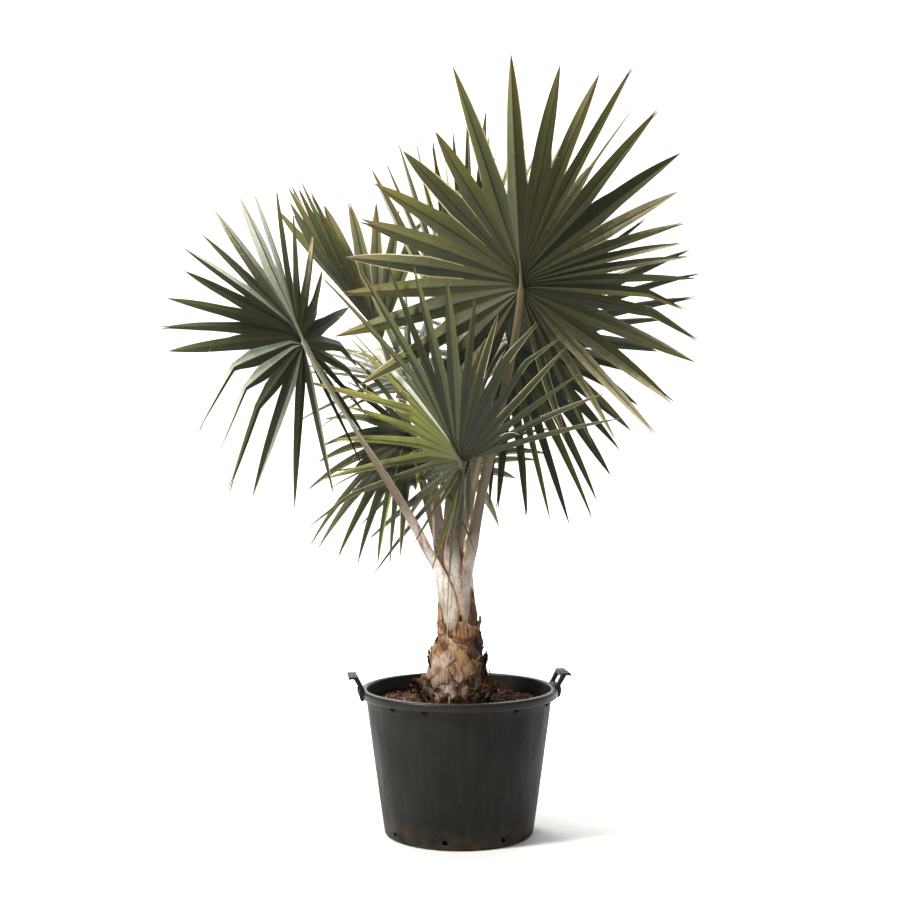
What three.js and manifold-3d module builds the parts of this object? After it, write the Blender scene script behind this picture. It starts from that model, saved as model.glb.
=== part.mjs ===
// A young Bismarck palm in a round black nursery tub with two handles.
// Millimetres, +Z up. The origin is the centre of the tub's flat underside, +X is to the
// right of the plant as it is looked at, and +Y points away from the viewer.

import * as THREE from "three";
import { mergeVertices } from "three/addons/utils/BufferGeometryUtils.js";
import Module from "manifold-3d";

const wasm = await Module();
wasm.setup();

// Driving dimensions of the tub
const TUB_HEIGHT = 440;
const LIP_RADIUS = 300;
const LIP_DEPTH = 24;
const LIP_ROLL = 5;
const SKIRT_THICKNESS = 4;
const WALL_TOP_RADIUS = 285;
const BASE_RADIUS = 225;
const BASE_CORNER = 12;
const CORNER_STEPS = 3;
const WALL_THICKNESS = 6;
const FLOOR_THICKNESS = 8;
const DRAIN_HOLES = 8;
const DRAIN_RADIUS = 7;
const DRAIN_HEIGHT = 24;
const DRAIN_START = 12;
const DRAIN_RUN = 60;
const RIM_EASE = 3;
const TUB_SIDES = 64;

// Driving dimensions of the two handles, which stand on the lip and flare outwards
const HANDLE_TURN = 7;
const HANDLE_LENGTH = 106;
const HANDLE_HEIGHT = 44;
const HANDLE_SEAT = [288, 300];
const HANDLE_FLARE = 22;
const HANDLE_GRIP = [26, 7];
const HANDLE_POST = 18;
const HANDLE_SILL = 7;
const HANDLE_TURNDOWN = 4;
const HANDLE_EASE = 2;

// Driving dimensions of the soil and the trunk
const SOIL_TOP = 392;
const SOIL_SHOULDER = 7;
const SOIL_CLEARANCE = 0.8;
const SOIL_SIDES = 48;
const GAP = 0.3;
const TRUNK_HEART = 812;
const HEART_DOME = 30;
const TRUNK_STATIONS = [
  // height above the soil and radius: flare, waist, and the dome of the heart
  [0, 100],
  [14, 94],
  [58, 82],
  [136, 62],
  [213, 49],
  [290, 44],
  [370, 40],
  [408, 32],
  [420, 18],
];
const TRUNK_SIDES = 32;
const TRUNK_MIDDLE = { low: -12, mid: -3, high: -18 };

// Old leaf bases on the lower trunk: rings from the soil up, each a few torn scales
const BOOT_RINGS = [
  // height above the soil, scales in the ring, first heading, height, thickness, lean
  { above: 3, count: 7, turn: 10, height: 84, thick: 9, lean: 15, half: 23 },
  { above: 52, count: 6, turn: 38, height: 92, thick: 9, lean: 12, half: 27 },
  { above: 104, count: 5, turn: 8, height: 96, thick: 8, lean: 11, half: 32 },
  { above: 156, count: 5, turn: 50, height: 92, thick: 7, lean: 10, half: 32 },
];

// Leaf sheaths: three rings of petiole feet that hug the trunk above the old leaf bases
const SHEATH = { height: 280, thick: 5, lean: 4.2, stalk: 0.45 };
const SCALE_GAP = 0.6;
const SCALE_ROWS = 5;
const SCALE_COLUMN = 14;

// Leaf blades
const LEAF_THICKNESS = 8;
const COSTA_LENGTH = 60;
const HUB_RADIUS = 34;
const PLEAT_DEPTH = 0.36;
const WANDER = 0.7;
const FREE_ROW = 0.5;
const FREE_WIDTH = 0.66;
const TIP_WIDTH = 5;
const LEAF_CLEARANCE = 2;
const STUB = 0.07;
const APPROACH = 0.16;
const PETIOLE_TIP = [19, 11];
const PETIOLE_STEPS = 11;
const FOOT_PULL = 0.22;
const HUB_PULL = 0.3;
const SPEAR_START = 400;
const PRESS = 0.4;
const SEAT_DEPTH = 3;
const PETIOLE_STATIONS = [
  // distance from the foot, width and depth; the tip size takes over towards the blade
  [0, 50, 5],
  [100, 46, 9],
  [200, 36, 14],
  [320, 30, 17],
  [800, 24, 14],
  [1300, 20, 12],
];
const BEND_STEPS = [0, 0.1, -0.1, 0.2, -0.2, 0.3, -0.3, 0.42, -0.42, 0.55, -0.55];

// One row for each frond: where its blade starts, where its rib points, how the blade is
// turned about the rib, how far its two halves fold up, and where its foot leaves the trunk
const FRONDS = [
  {
    name: "front_right",
    hub: [172, -330, 1613],
    rib: [-99, 76],
    roll: 11,
    fold: 18,
    droop: 0.05,
    spread: 163,
    radius: 659,
    leaflets: 31,
    fused: 0.46,
    turns: [
      -165, -154, -146, -139, -126, -112, -103, -95, -89, -84, -78, -73, -66, -55, -42, -37, -31,
      -24, -14, 0, 17, 30, 41, 54, 67, 79, 90, 102, 118, 134, 152,
    ],
    reach: [
      0.71, 0.92, 0.99, 0.85, 0.76, 0.92, 0.98, 0.82, 0.92, 0.68, 0.77, 0.77, 0.84, 0.86, 0.75,
      0.68,
    ],
    foot: [-42, 206],
    hug: 34,
  },
  {
    name: "left",
    hub: [-464, -80, 1476],
    rib: [-143, 67],
    roll: 102,
    fold: 24,
    droop: 0.05,
    spread: 166,
    radius: 490,
    leaflets: 25,
    fused: 0.4,
    turns: [
      -166, -150, -135, -121, -107, -91, -74, -58, -40, -26, -8, 4, 17, 25, 32, 42, 51, 62, 71, 90,
      104, 121, 139, 157, 170,
    ],
    reach: [0.98, 0.92, 0.98, 0.9, 0.88, 0.82, 0.85, 1, 1],
    foot: [214, 206],
    hug: 64,
  },
  {
    name: "front",
    hub: [10, -235, 1128],
    rib: [171, 60],
    roll: 50,
    fold: 15,
    droop: 0.1,
    spread: 98,
    radius: 632,
    leaflets: 25,
    fused: 0.36,
    reach: [0.84, 0.78, 0.74, 0.84, 0.95, 0.86, 0.88, 0.97, 0.9],
    foot: [-88, 276],
    hug: 40,
  },
  {
    name: "right",
    hub: [152, 100, 1483],
    rib: [42, 1],
    roll: 105,
    fold: 26,
    droop: 0.13,
    spread: 124,
    radius: 655,
    leaflets: 25,
    fused: 0.42,
    reach: [0.89, 0.9, 0.87, 1, 0.8, 0.86, 0.93, 0.83, 0.79],
    foot: [20, 206],
    hug: 24,
  },
  {
    name: "back",
    hub: [5, 210, 1458],
    rib: [100, 72],
    roll: 0,
    fold: 20,
    droop: 0.06,
    spread: 86,
    radius: 790,
    leaflets: 17,
    fused: 0.38,
    turns: [-25, -20, -15, -10, -5, 0, 6, 11, 17, 23, 29, 35, 41, 47, 53, 59, 65],
    reach: [0.76, 0.8, 0.82, 0.84, 0.92, 1, 0.9, 0.8, 0.78],
    foot: [80, 346],
    hug: 30,
  },
  {
    name: "upper_left",
    hub: [-238, 165, 1505],
    rib: [135, 43],
    roll: 3,
    fold: 45,
    droop: 0.05,
    spread: 72,
    radius: 600,
    leaflets: 15,
    pleat: 0.9,
    fused: 0.56,
    turns: [-72, -65, -56, -48, -39, -31, -22, -13, -5, 4, 13, 21, 29, 36, 43],
    reach: [0.9, 0.88, 0.88, 0.92, 1, 0.98, 0.92, 0.9, 0.9],
    foot: [146, 346],
    hug: 30,
  },
  {
    name: "lower_left",
    hub: [-146, 0, 1208],
    rib: [149, -40],
    roll: -80,
    fold: -5,
    droop: 0.23,
    spread: 91,
    radius: 482,
    leaflets: 19,
    fused: 0.36,
    reach: [0.9, 0.79, 0.79, 0.84, 0.96, 1, 0.8, 0.95, 0.84],
    foot: [186, 276],
    hug: 30,
  },
  {
    name: "spear",
    hub: [48, 30, 1500],
    rib: [60, 84],
    roll: 0,
    fold: 55,
    droop: 0,
    spread: 24,
    radius: 660,
    leaflets: 9,
    fused: 0.5,
    reach: [0.86, 0.9, 0.94, 0.98, 1, 0.98, 0.94, 0.9, 0.86],
    foot: [0, 420],
    hug: 0,
  },
  {
    name: "back_right",
    hub: [126, 360, 1410],
    rib: [85, 41],
    roll: -8,
    fold: 19,
    droop: 0.28,
    spread: 138,
    radius: 490,
    leaflets: 21,
    fused: 0.3,
    reach: [0.92, 0.94, 0.96, 0.98, 1, 0.98, 0.96, 0.94, 0.92],
    foot: [52, 276],
    hug: 30,
  },
  {
    name: "back_left",
    hub: [-151, 360, 1358],
    rib: [128, 28],
    roll: -28,
    fold: 28,
    droop: 0.21,
    spread: 132,
    radius: 440,
    leaflets: 21,
    fused: 0.3,
    reach: [0.8, 0.82, 0.9, 0.98, 1, 1, 1, 1, 1],
    foot: [122, 276],
    hug: 28,
  },
  {
    name: "back_low",
    hub: [-20, 380, 1089],
    rib: [70, -10],
    roll: -24,
    fold: 28,
    droop: 0.28,
    spread: 138,
    radius: 440,
    leaflets: 19,
    fused: 0.4,
    reach: [0.92, 0.94, 0.96, 0.98, 1, 0.98, 0.96, 0.94, 0.92],
    foot: [84, 206],
    hug: 38,
  },
];

// Finishes
const finish = (color, roughness) =>
  new THREE.MeshStandardMaterial({ color, roughness, metalness: 0, side: THREE.DoubleSide });
const TUB_PLASTIC = finish(0x33322f, 0.55);
const BARK_CHIPS = finish(0x4a2e20, 0.95);
const TRUNK_BARK = finish(0x8a6a4c, 0.9);
const OLD_LEAF_BASE = finish(0xa37b55, 0.9);
const PETIOLE_SKIN = finish(0xb3a898, 0.6);
const LEAF_GREEN = finish(0x5b6a45, 0.6);

// Small vector helpers
const V = (x, y, z) => new THREE.Vector3(x, y, z);
const radians = THREE.MathUtils.degToRad;
const mix = THREE.MathUtils.lerp;
const step = (a, b, t) => a.clone().lerp(b, t);
const along = (point, direction, distance) => point.clone().addScaledVector(direction, distance);
const cross = (a, b) => new THREE.Vector3().crossVectors(a, b);
const DOWN = V(0, 0, -1);
const UP = V(0, 0, 1);
const headingVector = (heading, climb = 0) =>
  V(
    Math.cos(radians(climb)) * Math.cos(radians(heading)),
    Math.cos(radians(climb)) * Math.sin(radians(heading)),
    Math.sin(radians(climb)),
  );

// A value read from a short list that is spread evenly from 0 to 1
function readList(list, t) {
  const place = Math.min(Math.max(t, 0), 1) * (list.length - 1);
  const index = Math.min(Math.floor(place), list.length - 2);
  return mix(list[index], list[index + 1], place - index);
}

// The plant's seeded draws: the same seed always gives the same leaflets
function draws(seed) {
  let state = seed >>> 0;
  const next = () => {
    state = (Math.imul(state, 1664525) + 1013904223) >>> 0;
    return state / 4294967296;
  };
  return { next, either: () => next() * 2 - 1 };
}

// Solids: closed meshes with shared vertices, and joins and cuts between them
function closedGeometry(points, triangles) {
  const geometry = new THREE.BufferGeometry();
  const flat = points.flatMap((p) => [p.x, p.y, p.z]);
  geometry.setAttribute("position", new THREE.Float32BufferAttribute(flat, 3));
  geometry.setIndex(triangles.flat());
  return geometry;
}

function signedVolume(geometry) {
  const position = geometry.attributes.position;
  const index = geometry.index.array;
  const [a, b, c] = [V(0, 0, 0), V(0, 0, 0), V(0, 0, 0)];
  let six = 0;
  for (let i = 0; i < index.length; i += 3) {
    a.fromBufferAttribute(position, index[i]);
    b.fromBufferAttribute(position, index[i + 1]);
    c.fromBufferAttribute(position, index[i + 2]);
    six += a.dot(b.cross(c));
  }
  return six / 6;
}

function facingOut(geometry) {
  if (signedVolume(geometry) >= 0) return geometry;
  const turned = Array.from(geometry.index.array);
  for (let i = 0; i < turned.length; i += 3) {
    [turned[i + 1], turned[i + 2]] = [turned[i + 2], turned[i + 1]];
  }
  return geometry.clone().setIndex(turned);
}

function shared(geometry) {
  const bare = geometry.clone();
  bare.deleteAttribute("normal");
  bare.deleteAttribute("uv");
  return facingOut(mergeVertices(bare, 1e-3));
}

function solidOf(geometry) {
  const source = shared(geometry);
  return new wasm.Manifold(
    new wasm.Mesh({
      numProp: 3,
      vertProperties: Float32Array.from(source.attributes.position.array),
      triVerts: Uint32Array.from(source.index.array),
    }),
  );
}

function geometryOf(solid) {
  const made = solid.getMesh();
  const geometry = new THREE.BufferGeometry();
  geometry.setAttribute("position", new THREE.BufferAttribute(made.vertProperties, 3));
  geometry.setIndex(new THREE.BufferAttribute(made.triVerts, 1));
  geometry.computeVertexNormals();
  return geometry;
}

// A closed skin over rings of an even number of points, with a cap of strips at each end
function skin(rings) {
  const count = rings[0].length;
  const points = rings.flat();
  const triangles = [];
  for (let r = 0; r + 1 < rings.length; r += 1) {
    for (let i = 0; i < count; i += 1) {
      const j = (i + 1) % count;
      const [a, b] = [r * count + i, r * count + j];
      triangles.push([a, b, b + count], [a, b + count, a + count]);
    }
  }
  const last = (rings.length - 1) * count;
  for (let i = 0; i < count / 2 - 1; i += 1) {
    const [a, b, c, d] = [i, i + 1, count - 2 - i, count - 1 - i];
    triangles.push([a, c, b], [a, d, c]);
    triangles.push([last + a, last + b, last + c], [last + a, last + c, last + d]);
  }
  return facingOut(closedGeometry(points, triangles));
}

// The tub: a turned wall with a rolled lip and a ring of drain holes near its foot
const wallRadius = (z) => mix(BASE_RADIUS, WALL_TOP_RADIUS, z / TUB_HEIGHT);

function tubProfile() {
  const profile = [[0, 0]];
  for (let i = 0; i <= CORNER_STEPS; i += 1) {
    const turn = (i / CORNER_STEPS) * (Math.PI / 2);
    profile.push([
      wallRadius(BASE_CORNER) - BASE_CORNER + BASE_CORNER * Math.sin(turn),
      BASE_CORNER - BASE_CORNER * Math.cos(turn),
    ]);
  }
  const underLip = TUB_HEIGHT - LIP_ROLL - RIM_EASE;
  profile.push([wallRadius(underLip), underLip]);
  profile.push([LIP_RADIUS - SKIRT_THICKNESS, underLip]);
  profile.push([LIP_RADIUS - SKIRT_THICKNESS, TUB_HEIGHT - LIP_DEPTH]);
  profile.push([LIP_RADIUS, TUB_HEIGHT - LIP_DEPTH]);
  profile.push([LIP_RADIUS, TUB_HEIGHT - LIP_ROLL]);
  profile.push([LIP_RADIUS - LIP_ROLL, TUB_HEIGHT]);
  profile.push([WALL_TOP_RADIUS - WALL_THICKNESS + RIM_EASE, TUB_HEIGHT]);
  profile.push([WALL_TOP_RADIUS - WALL_THICKNESS, TUB_HEIGHT - RIM_EASE]);
  profile.push([wallRadius(FLOOR_THICKNESS) - WALL_THICKNESS, FLOOR_THICKNESS]);
  profile.push([0, FLOOR_THICKNESS]);
  return profile.map(([r, z]) => new THREE.Vector2(r, z));
}

function lathe(profile, sides) {
  return new THREE.LatheGeometry(profile, sides).rotateX(Math.PI / 2);
}

function makeTub() {
  let tub = solidOf(lathe(tubProfile(), TUB_SIDES));
  for (let i = 0; i < DRAIN_HOLES; i += 1) {
    const heading = DRAIN_START + (360 / DRAIN_HOLES) * (i + 0.5);
    const drill = new THREE.CylinderGeometry(DRAIN_RADIUS, DRAIN_RADIUS, DRAIN_RUN, 12)
      .rotateZ(Math.PI / 2)
      .translate(BASE_RADIUS, 0, DRAIN_HEIGHT)
      .rotateZ(radians(heading));
    tub = tub.subtract(solidOf(drill));
  }
  return geometryOf(tub);
}

// One handle: two posts on the lip that carry a grip, which is turned outwards at the top
function makeHandle(heading) {
  const [inner, outer] = HANDLE_SEAT;
  const [reach, depth] = HANDLE_GRIP;
  const foot = TUB_HEIGHT + GAP;
  const top = TUB_HEIGHT + HANDLE_HEIGHT;
  const edge = inner + HANDLE_FLARE + reach;
  const section = new THREE.Shape([
    new THREE.Vector2(inner, foot),
    new THREE.Vector2(outer, foot),
    new THREE.Vector2(outer + HANDLE_FLARE, top - depth),
    new THREE.Vector2(edge - HANDLE_TURNDOWN, top - depth),
    new THREE.Vector2(edge - HANDLE_EASE, top - depth - HANDLE_TURNDOWN),
    new THREE.Vector2(edge, top - depth - HANDLE_TURNDOWN + HANDLE_EASE),
    new THREE.Vector2(edge, top - HANDLE_EASE),
    new THREE.Vector2(edge - HANDLE_EASE, top),
    new THREE.Vector2(inner + HANDLE_FLARE, top),
  ]);
  const whole = new THREE.ExtrudeGeometry(section, { depth: HANDLE_LENGTH, bevelEnabled: false })
    .translate(0, 0, -HANDLE_LENGTH / 2)
    .rotateX(Math.PI / 2);
  const low = foot + HANDLE_SILL;
  const high = top - depth - HANDLE_TURNDOWN;
  const opening = new THREE.BoxGeometry(2 * LIP_RADIUS, HANDLE_LENGTH - 2 * HANDLE_POST, high - low)
    .translate(LIP_RADIUS, 0, (low + high) / 2);
  return geometryOf(solidOf(whole).subtract(solidOf(opening))).rotateZ(radians(heading));
}

// The soil: a plug that fills the tub and carries the trunk
function makeSoil() {
  const inner = (z) => {
    const t = (z - FLOOR_THICKNESS) / (TUB_HEIGHT - RIM_EASE - FLOOR_THICKNESS);
    const low = wallRadius(FLOOR_THICKNESS) - WALL_THICKNESS;
    return mix(low, WALL_TOP_RADIUS - WALL_THICKNESS, t) - SOIL_CLEARANCE;
  };
  const floor = FLOOR_THICKNESS + GAP;
  const profile = [
    [0, floor],
    [inner(floor), floor],
    [inner(SOIL_TOP - SOIL_SHOULDER), SOIL_TOP - SOIL_SHOULDER],
    [inner(SOIL_TOP) - SOIL_SHOULDER, SOIL_TOP],
    [0, SOIL_TOP],
  ];
  return lathe(
    profile.map(([r, z]) => new THREE.Vector2(r, z)),
    SOIL_SIDES,
  );
}

// The trunk: a leaning taper with a flare at the soil, closed by the dome of the heart
function trunkMiddle(z) {
  const t = (z - SOIL_TOP) / (TRUNK_HEART - SOIL_TOP);
  const { low, mid, high } = TRUNK_MIDDLE;
  const bow = 4 * t * (1 - t);
  return V(mix(low, high, t) + (mid - (low + high) / 2) * bow, 0, z);
}

function trunkRadius(z) {
  const above = z - SOIL_TOP;
  for (let i = 0; i + 1 < TRUNK_STATIONS.length; i += 1) {
    const [h0, r0] = TRUNK_STATIONS[i];
    const [h1, r1] = TRUNK_STATIONS[i + 1];
    if (above <= h1) return mix(r0, r1, Math.max(0, above - h0) / (h1 - h0));
  }
  return TRUNK_STATIONS[TRUNK_STATIONS.length - 1][1];
}

function makeTrunk(grow = 0) {
  const rings = TRUNK_STATIONS.map(([above, radius]) => {
    const middle = trunkMiddle(SOIL_TOP + GAP + above);
    return Array.from({ length: TRUNK_SIDES }, (_, i) => {
      const around = headingVector((360 * i) / TRUNK_SIDES);
      return along(middle, around, radius + grow);
    });
  });
  return skin(rings);
}

// A scale that hugs the trunk: an arc of the trunk's own curve that leans out as it rises
// and narrows by the list of widths, given as shares of the half angle
function scaleRadius(z, foot, lean) {
  const inside = trunkRadius(Math.min(z, TRUNK_HEART - HEART_DOME)) + SCALE_GAP;
  return inside + (z - foot) * Math.tan(radians(lean));
}

function scale({ heading, foot, height, thick, lean, half, widths, grow = 0 }) {
  const rows = SCALE_ROWS;
  const columns = Math.max(3, Math.ceil(half / SCALE_COLUMN));
  const rings = [];
  for (let r = 0; r <= rows; r += 1) {
    const t = r / rows;
    const z = foot + height * t;
    const inner = scaleRadius(z, foot, lean) - grow;
    const outer = inner + thick * (1 - 0.45 * t) + 2 * grow;
    const middle = trunkMiddle(z);
    const reach = half * readList(widths, t) + grow;
    const arc = (radius) =>
      Array.from({ length: columns + 1 }, (_, i) => {
        const turn = heading + mix(-reach, reach, i / columns);
        return along(middle, headingVector(turn), radius / Math.cos(radians(reach / columns)));
      });
    rings.push([...arc(inner), ...arc(outer).reverse()]);
  }
  return skin(rings);
}

const BOOT_WIDTHS = [1, 1, 0.92, 0.74, 0.5, 0.2];
const SHEATH_WIDTHS = [1, 1, 0.98, 0.8, 0.55, 0.3];

function makeBoots() {
  const boots = [];
  BOOT_RINGS.forEach((ring, level) => {
    for (let i = 0; i < ring.count; i += 1) {
      const draw = draws(900 + level * 20 + i);
      boots.push({
        name: `old_leaf_base_${String(boots.length + 1).padStart(2, "0")}`,
        geometry: scale({
          heading: ring.turn + (360 * i) / ring.count + draw.either() * 2,
          foot: SOIL_TOP + ring.above,
          height: ring.height * (1 + 0.12 * draw.either()),
          thick: ring.thick,
          lean: ring.lean,
          half: ring.half,
          widths: BOOT_WIDTHS,
        }),
      });
    }
  });
  return boots;
}

// The frame of a blade: rib direction, upper face and side
function bladeFrame(frond) {
  const rib = headingVector(...frond.rib);
  const level = UP.clone().addScaledVector(rib, -rib.z).normalize();
  const face = level
    .clone()
    .multiplyScalar(Math.cos(radians(frond.roll)))
    .addScaledVector(cross(rib, level), Math.sin(radians(frond.roll)));
  return { rib, face, side: cross(rib, face), hub: V(...frond.hub) };
}

// Direction of a leaflet, and where it starts on the rib, for u from -1 to 1 across the blade
function rayOf(frond, frame, u) {
  const turn = radians(Math.abs(u) * frond.spread);
  const fold = radians(frond.fold);
  const out = frame.side
    .clone()
    .multiplyScalar(Math.cos(fold) * (u < 0 ? -1 : 1))
    .addScaledVector(frame.face, Math.sin(fold));
  const direction = frame.rib
    .clone()
    .multiplyScalar(Math.cos(turn))
    .addScaledVector(out, Math.sin(turn))
    .normalize();
  const start = along(frame.hub, frame.rib, COSTA_LENGTH * Math.max(0, 1 - 1.4 * Math.abs(u)));
  return { direction, start };
}

// One line along the blade at u: a point and the blade's own upper normal for any distance
function line(frond, frame, u, length, droop, bend, fusedAt) {
  const { direction, start } = rayOf(frond, frame, u);
  const nextRay = rayOf(frond, frame, u + 0.02).direction;
  const lastRay = rayOf(frond, frame, u - 0.02).direction;
  const across = nextRay.sub(lastRay).normalize();
  const up = cross(across, direction).normalize();
  const sag = DOWN.clone().addScaledVector(direction, -DOWN.dot(direction));
  const point = (distance) =>
    along(start, direction, distance)
      .addScaledVector(sag, droop * length * (distance / length) ** 2.2)
      .addScaledVector(up, bend * Math.max(0, distance - fusedAt));
  return { point, up, across };
}

// All leaflets of a blade, before any is bent out of another's way. A frond may list the turn
// of each leaflet, in degrees from the rib; otherwise they wander from an even spread. Each
// leaflet then fills the room between the crests halfway to its neighbours.
function leafletsOf(frond, frame, seed) {
  const draw = draws(seed);
  const count = frond.leaflets;
  const drawn = Array.from({ length: count }, (_, i) => {
    const even = -1 + (2 * i) / (count - 1) + (WANDER / count) * draw.either();
    const u = frond.turns ? frond.turns[i] / frond.spread : even;
    return { u, loose: 0.06 * draw.either(), long: draw.either(), sag: draw.either() };
  });
  const crest = (i) => {
    if (i === 0) return drawn[0].u - 1 / (count - 1);
    if (i === count) return drawn[count - 1].u + 1 / (count - 1);
    return (drawn[i - 1].u + drawn[i].u) / 2;
  };
  return drawn.map(({ loose, long, sag }, i) => {
    const [left, right] = [crest(i), crest(i + 1)];
    const u = (left + right) / 2;
    const length = frond.radius * readList(frond.reach, (u + 1) / 2) * (1 + 0.04 * long);
    const droop = frond.droop * (1 + 0.4 * sag);
    return { u, left, right, loose, length, droop, bend: loose };
  });
}

// Where two neighbouring leaflets part, as a distance from the rib
const fusedAt = (frond, u) => frond.radius * frond.fused * (1 - 0.45 * u * u);

// Half the width of a leaflet at a distance from the hub, while it fills its room
function rootWidth(frond, leaf, distance) {
  const room = radians((leaf.right - leaf.left) * frond.spread);
  return (distance * Math.sin(Math.min(room, 0.5))) / 2;
}

const pleatOf = (frond) => frond.pleat ?? PLEAT_DEPTH;

// The stations of one free leaflet: its middle line and half width at each
function freeStations(frond, frame, leaf) {
  const leaves = fusedAt(frond, leaf.u);
  const run = line(frond, frame, leaf.u, leaf.length, leaf.droop, leaf.bend, leaves);
  const wide = rootWidth(frond, leaf, leaves);
  const far = mix(leaves, leaf.length, FREE_ROW);
  const rest = leaf.stub ? mix(leaves, leaf.length, 2 * STUB) : leaf.length;
  return [
    { at: run.point(leaves), half: wide, up: run.up, across: run.across },
    {
      at: run.point(leaf.stub ? mix(leaves, leaf.length, STUB) : far),
      half: wide * FREE_WIDTH,
      up: run.up,
      across: run.across,
    },
    { at: run.point(rest), half: TIP_WIDTH / 2, up: run.up, across: run.across },
  ];
}

// A plain bar round the free part of a leaflet, to ask whether it is clear of the rest
function freeBar(frond, frame, leaf) {
  const rings = freeStations(frond, frame, leaf).map(({ at, half, up, across }) => {
    const wide = half + LEAF_CLEARANCE;
    const thick = LEAF_THICKNESS / 2 + LEAF_CLEARANCE;
    return [
      [-1, -1],
      [1, -1],
      [1, 1],
      [-1, 1],
    ].map(([a, b]) => along(at, across, a * wide).addScaledVector(up, b * thick));
  });
  return solidOf(skin(rings));
}

// Whether two solids share any space, after a quick look at their boxes
function touches(a, b) {
  const [p, q] = [a.boundingBox(), b.boundingBox()];
  const apart = [0, 1, 2].some((k) => p.min[k] > q.max[k] || q.min[k] > p.max[k]);
  return !apart && a.intersect(b).volume() > 0;
}

// A leaflet that would touch a neighbour frond is bent up or down, or else cut to a stub
function settle(frond, frame, leaf, others) {
  for (const bend of BEND_STEPS) {
    leaf.bend = leaf.loose + bend;
    const bar = freeBar(frond, frame, leaf);
    if (!others.some((solid) => touches(bar, solid))) return leaf;
  }
  leaf.bend = leaf.loose;
  leaf.stub = true;
  return leaf;
}

// The blade: a pleated fan, fused from its hub outwards, then free leaflets cut apart
function makeBlade(frond, frame, leaves) {
  const points = [];
  const triangles = [];
  const half = LEAF_THICKNESS / 2;
  const put = (at, up, drop = 0, thin = 1) => {
    points.push(along(at, up, half * thin - drop), along(at, up, -half * thin - drop));
    return points.length - 2;
  };
  // Corner indices come in pairs: the upper one, and the lower one straight after it
  const sheet = (a, b, c) => triangles.push([a, b, c], [a + 1, c + 1, b + 1]);
  const wall = (a, b) => triangles.push([a, a + 1, b + 1], [a, b + 1, b]);
  const hub = put(frame.hub, frame.face);
  const edges = [];
  for (let i = 0; i <= leaves.length; i += 1) {
    const before = leaves[Math.max(i - 1, 0)];
    const after = leaves[Math.min(i, leaves.length - 1)];
    const u = i < leaves.length ? leaves[i].left : before.right;
    const length = (before.length + after.length) / 2;
    const droop = (before.droop + after.droop) / 2;
    const split = fusedAt(frond, u);
    const run = line(frond, frame, u, length, droop, 0, split);
    edges.push({
      ring: put(run.point(HUB_RADIUS), run.up),
      split: put(run.point(split), run.up),
    });
  }
  leaves.forEach((leaf, i) => {
    const [left, right] = [edges[i], edges[i + 1]];
    const leavesAt = fusedAt(frond, leaf.u);
    const flat = line(frond, frame, leaf.u, leaf.length, leaf.droop, 0, leavesAt);
    const pleat = pleatOf(frond);
    const depth = pleat * rootWidth(frond, leaf, leavesAt);
    const ring = put(flat.point(HUB_RADIUS), flat.up, pleat * rootWidth(frond, leaf, HUB_RADIUS));
    const [root, far, tip] = freeStations(frond, frame, leaf);
    const middle = put(flat.point(leavesAt), root.up, depth);
    const farDepth = pleat * far.half;
    const farLeft = put(along(far.at, far.across, -far.half), far.up);
    const farMiddle = put(far.at, far.up, farDepth);
    const farRight = put(along(far.at, far.across, far.half), far.up);
    const point = put(tip.at, tip.up, 0, 0.5);
    sheet(hub, left.ring, ring);
    sheet(hub, ring, right.ring);
    sheet(left.ring, left.split, middle);
    sheet(left.ring, middle, ring);
    sheet(ring, middle, right.split);
    sheet(ring, right.split, right.ring);
    sheet(left.split, farLeft, farMiddle);
    sheet(left.split, farMiddle, middle);
    sheet(middle, farMiddle, farRight);
    sheet(middle, farRight, right.split);
    sheet(farLeft, point, farMiddle);
    sheet(farMiddle, point, farRight);
    wall(left.split, farLeft);
    wall(farLeft, point);
    wall(point, farRight);
    wall(farRight, right.split);
  });
  const first = edges[0];
  const last = edges[edges.length - 1];
  wall(hub, first.ring);
  wall(first.ring, first.split);
  wall(last.split, last.ring);
  wall(last.ring, hub);
  return facingOut(closedGeometry(points, triangles));
}

// Width and depth of a stalk at a distance from its foot
function stalkSize(distance) {
  for (let i = 0; i + 1 < PETIOLE_STATIONS.length; i += 1) {
    const [d0, w0, h0] = PETIOLE_STATIONS[i];
    const [d1, w1, h1] = PETIOLE_STATIONS[i + 1];
    const t = (distance - d0) / (d1 - d0);
    if (t <= 1) return [mix(w0, w1, t), mix(h0, h1, t)];
  }
  return PETIOLE_STATIONS[PETIOLE_STATIONS.length - 1].slice(1);
}

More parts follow.
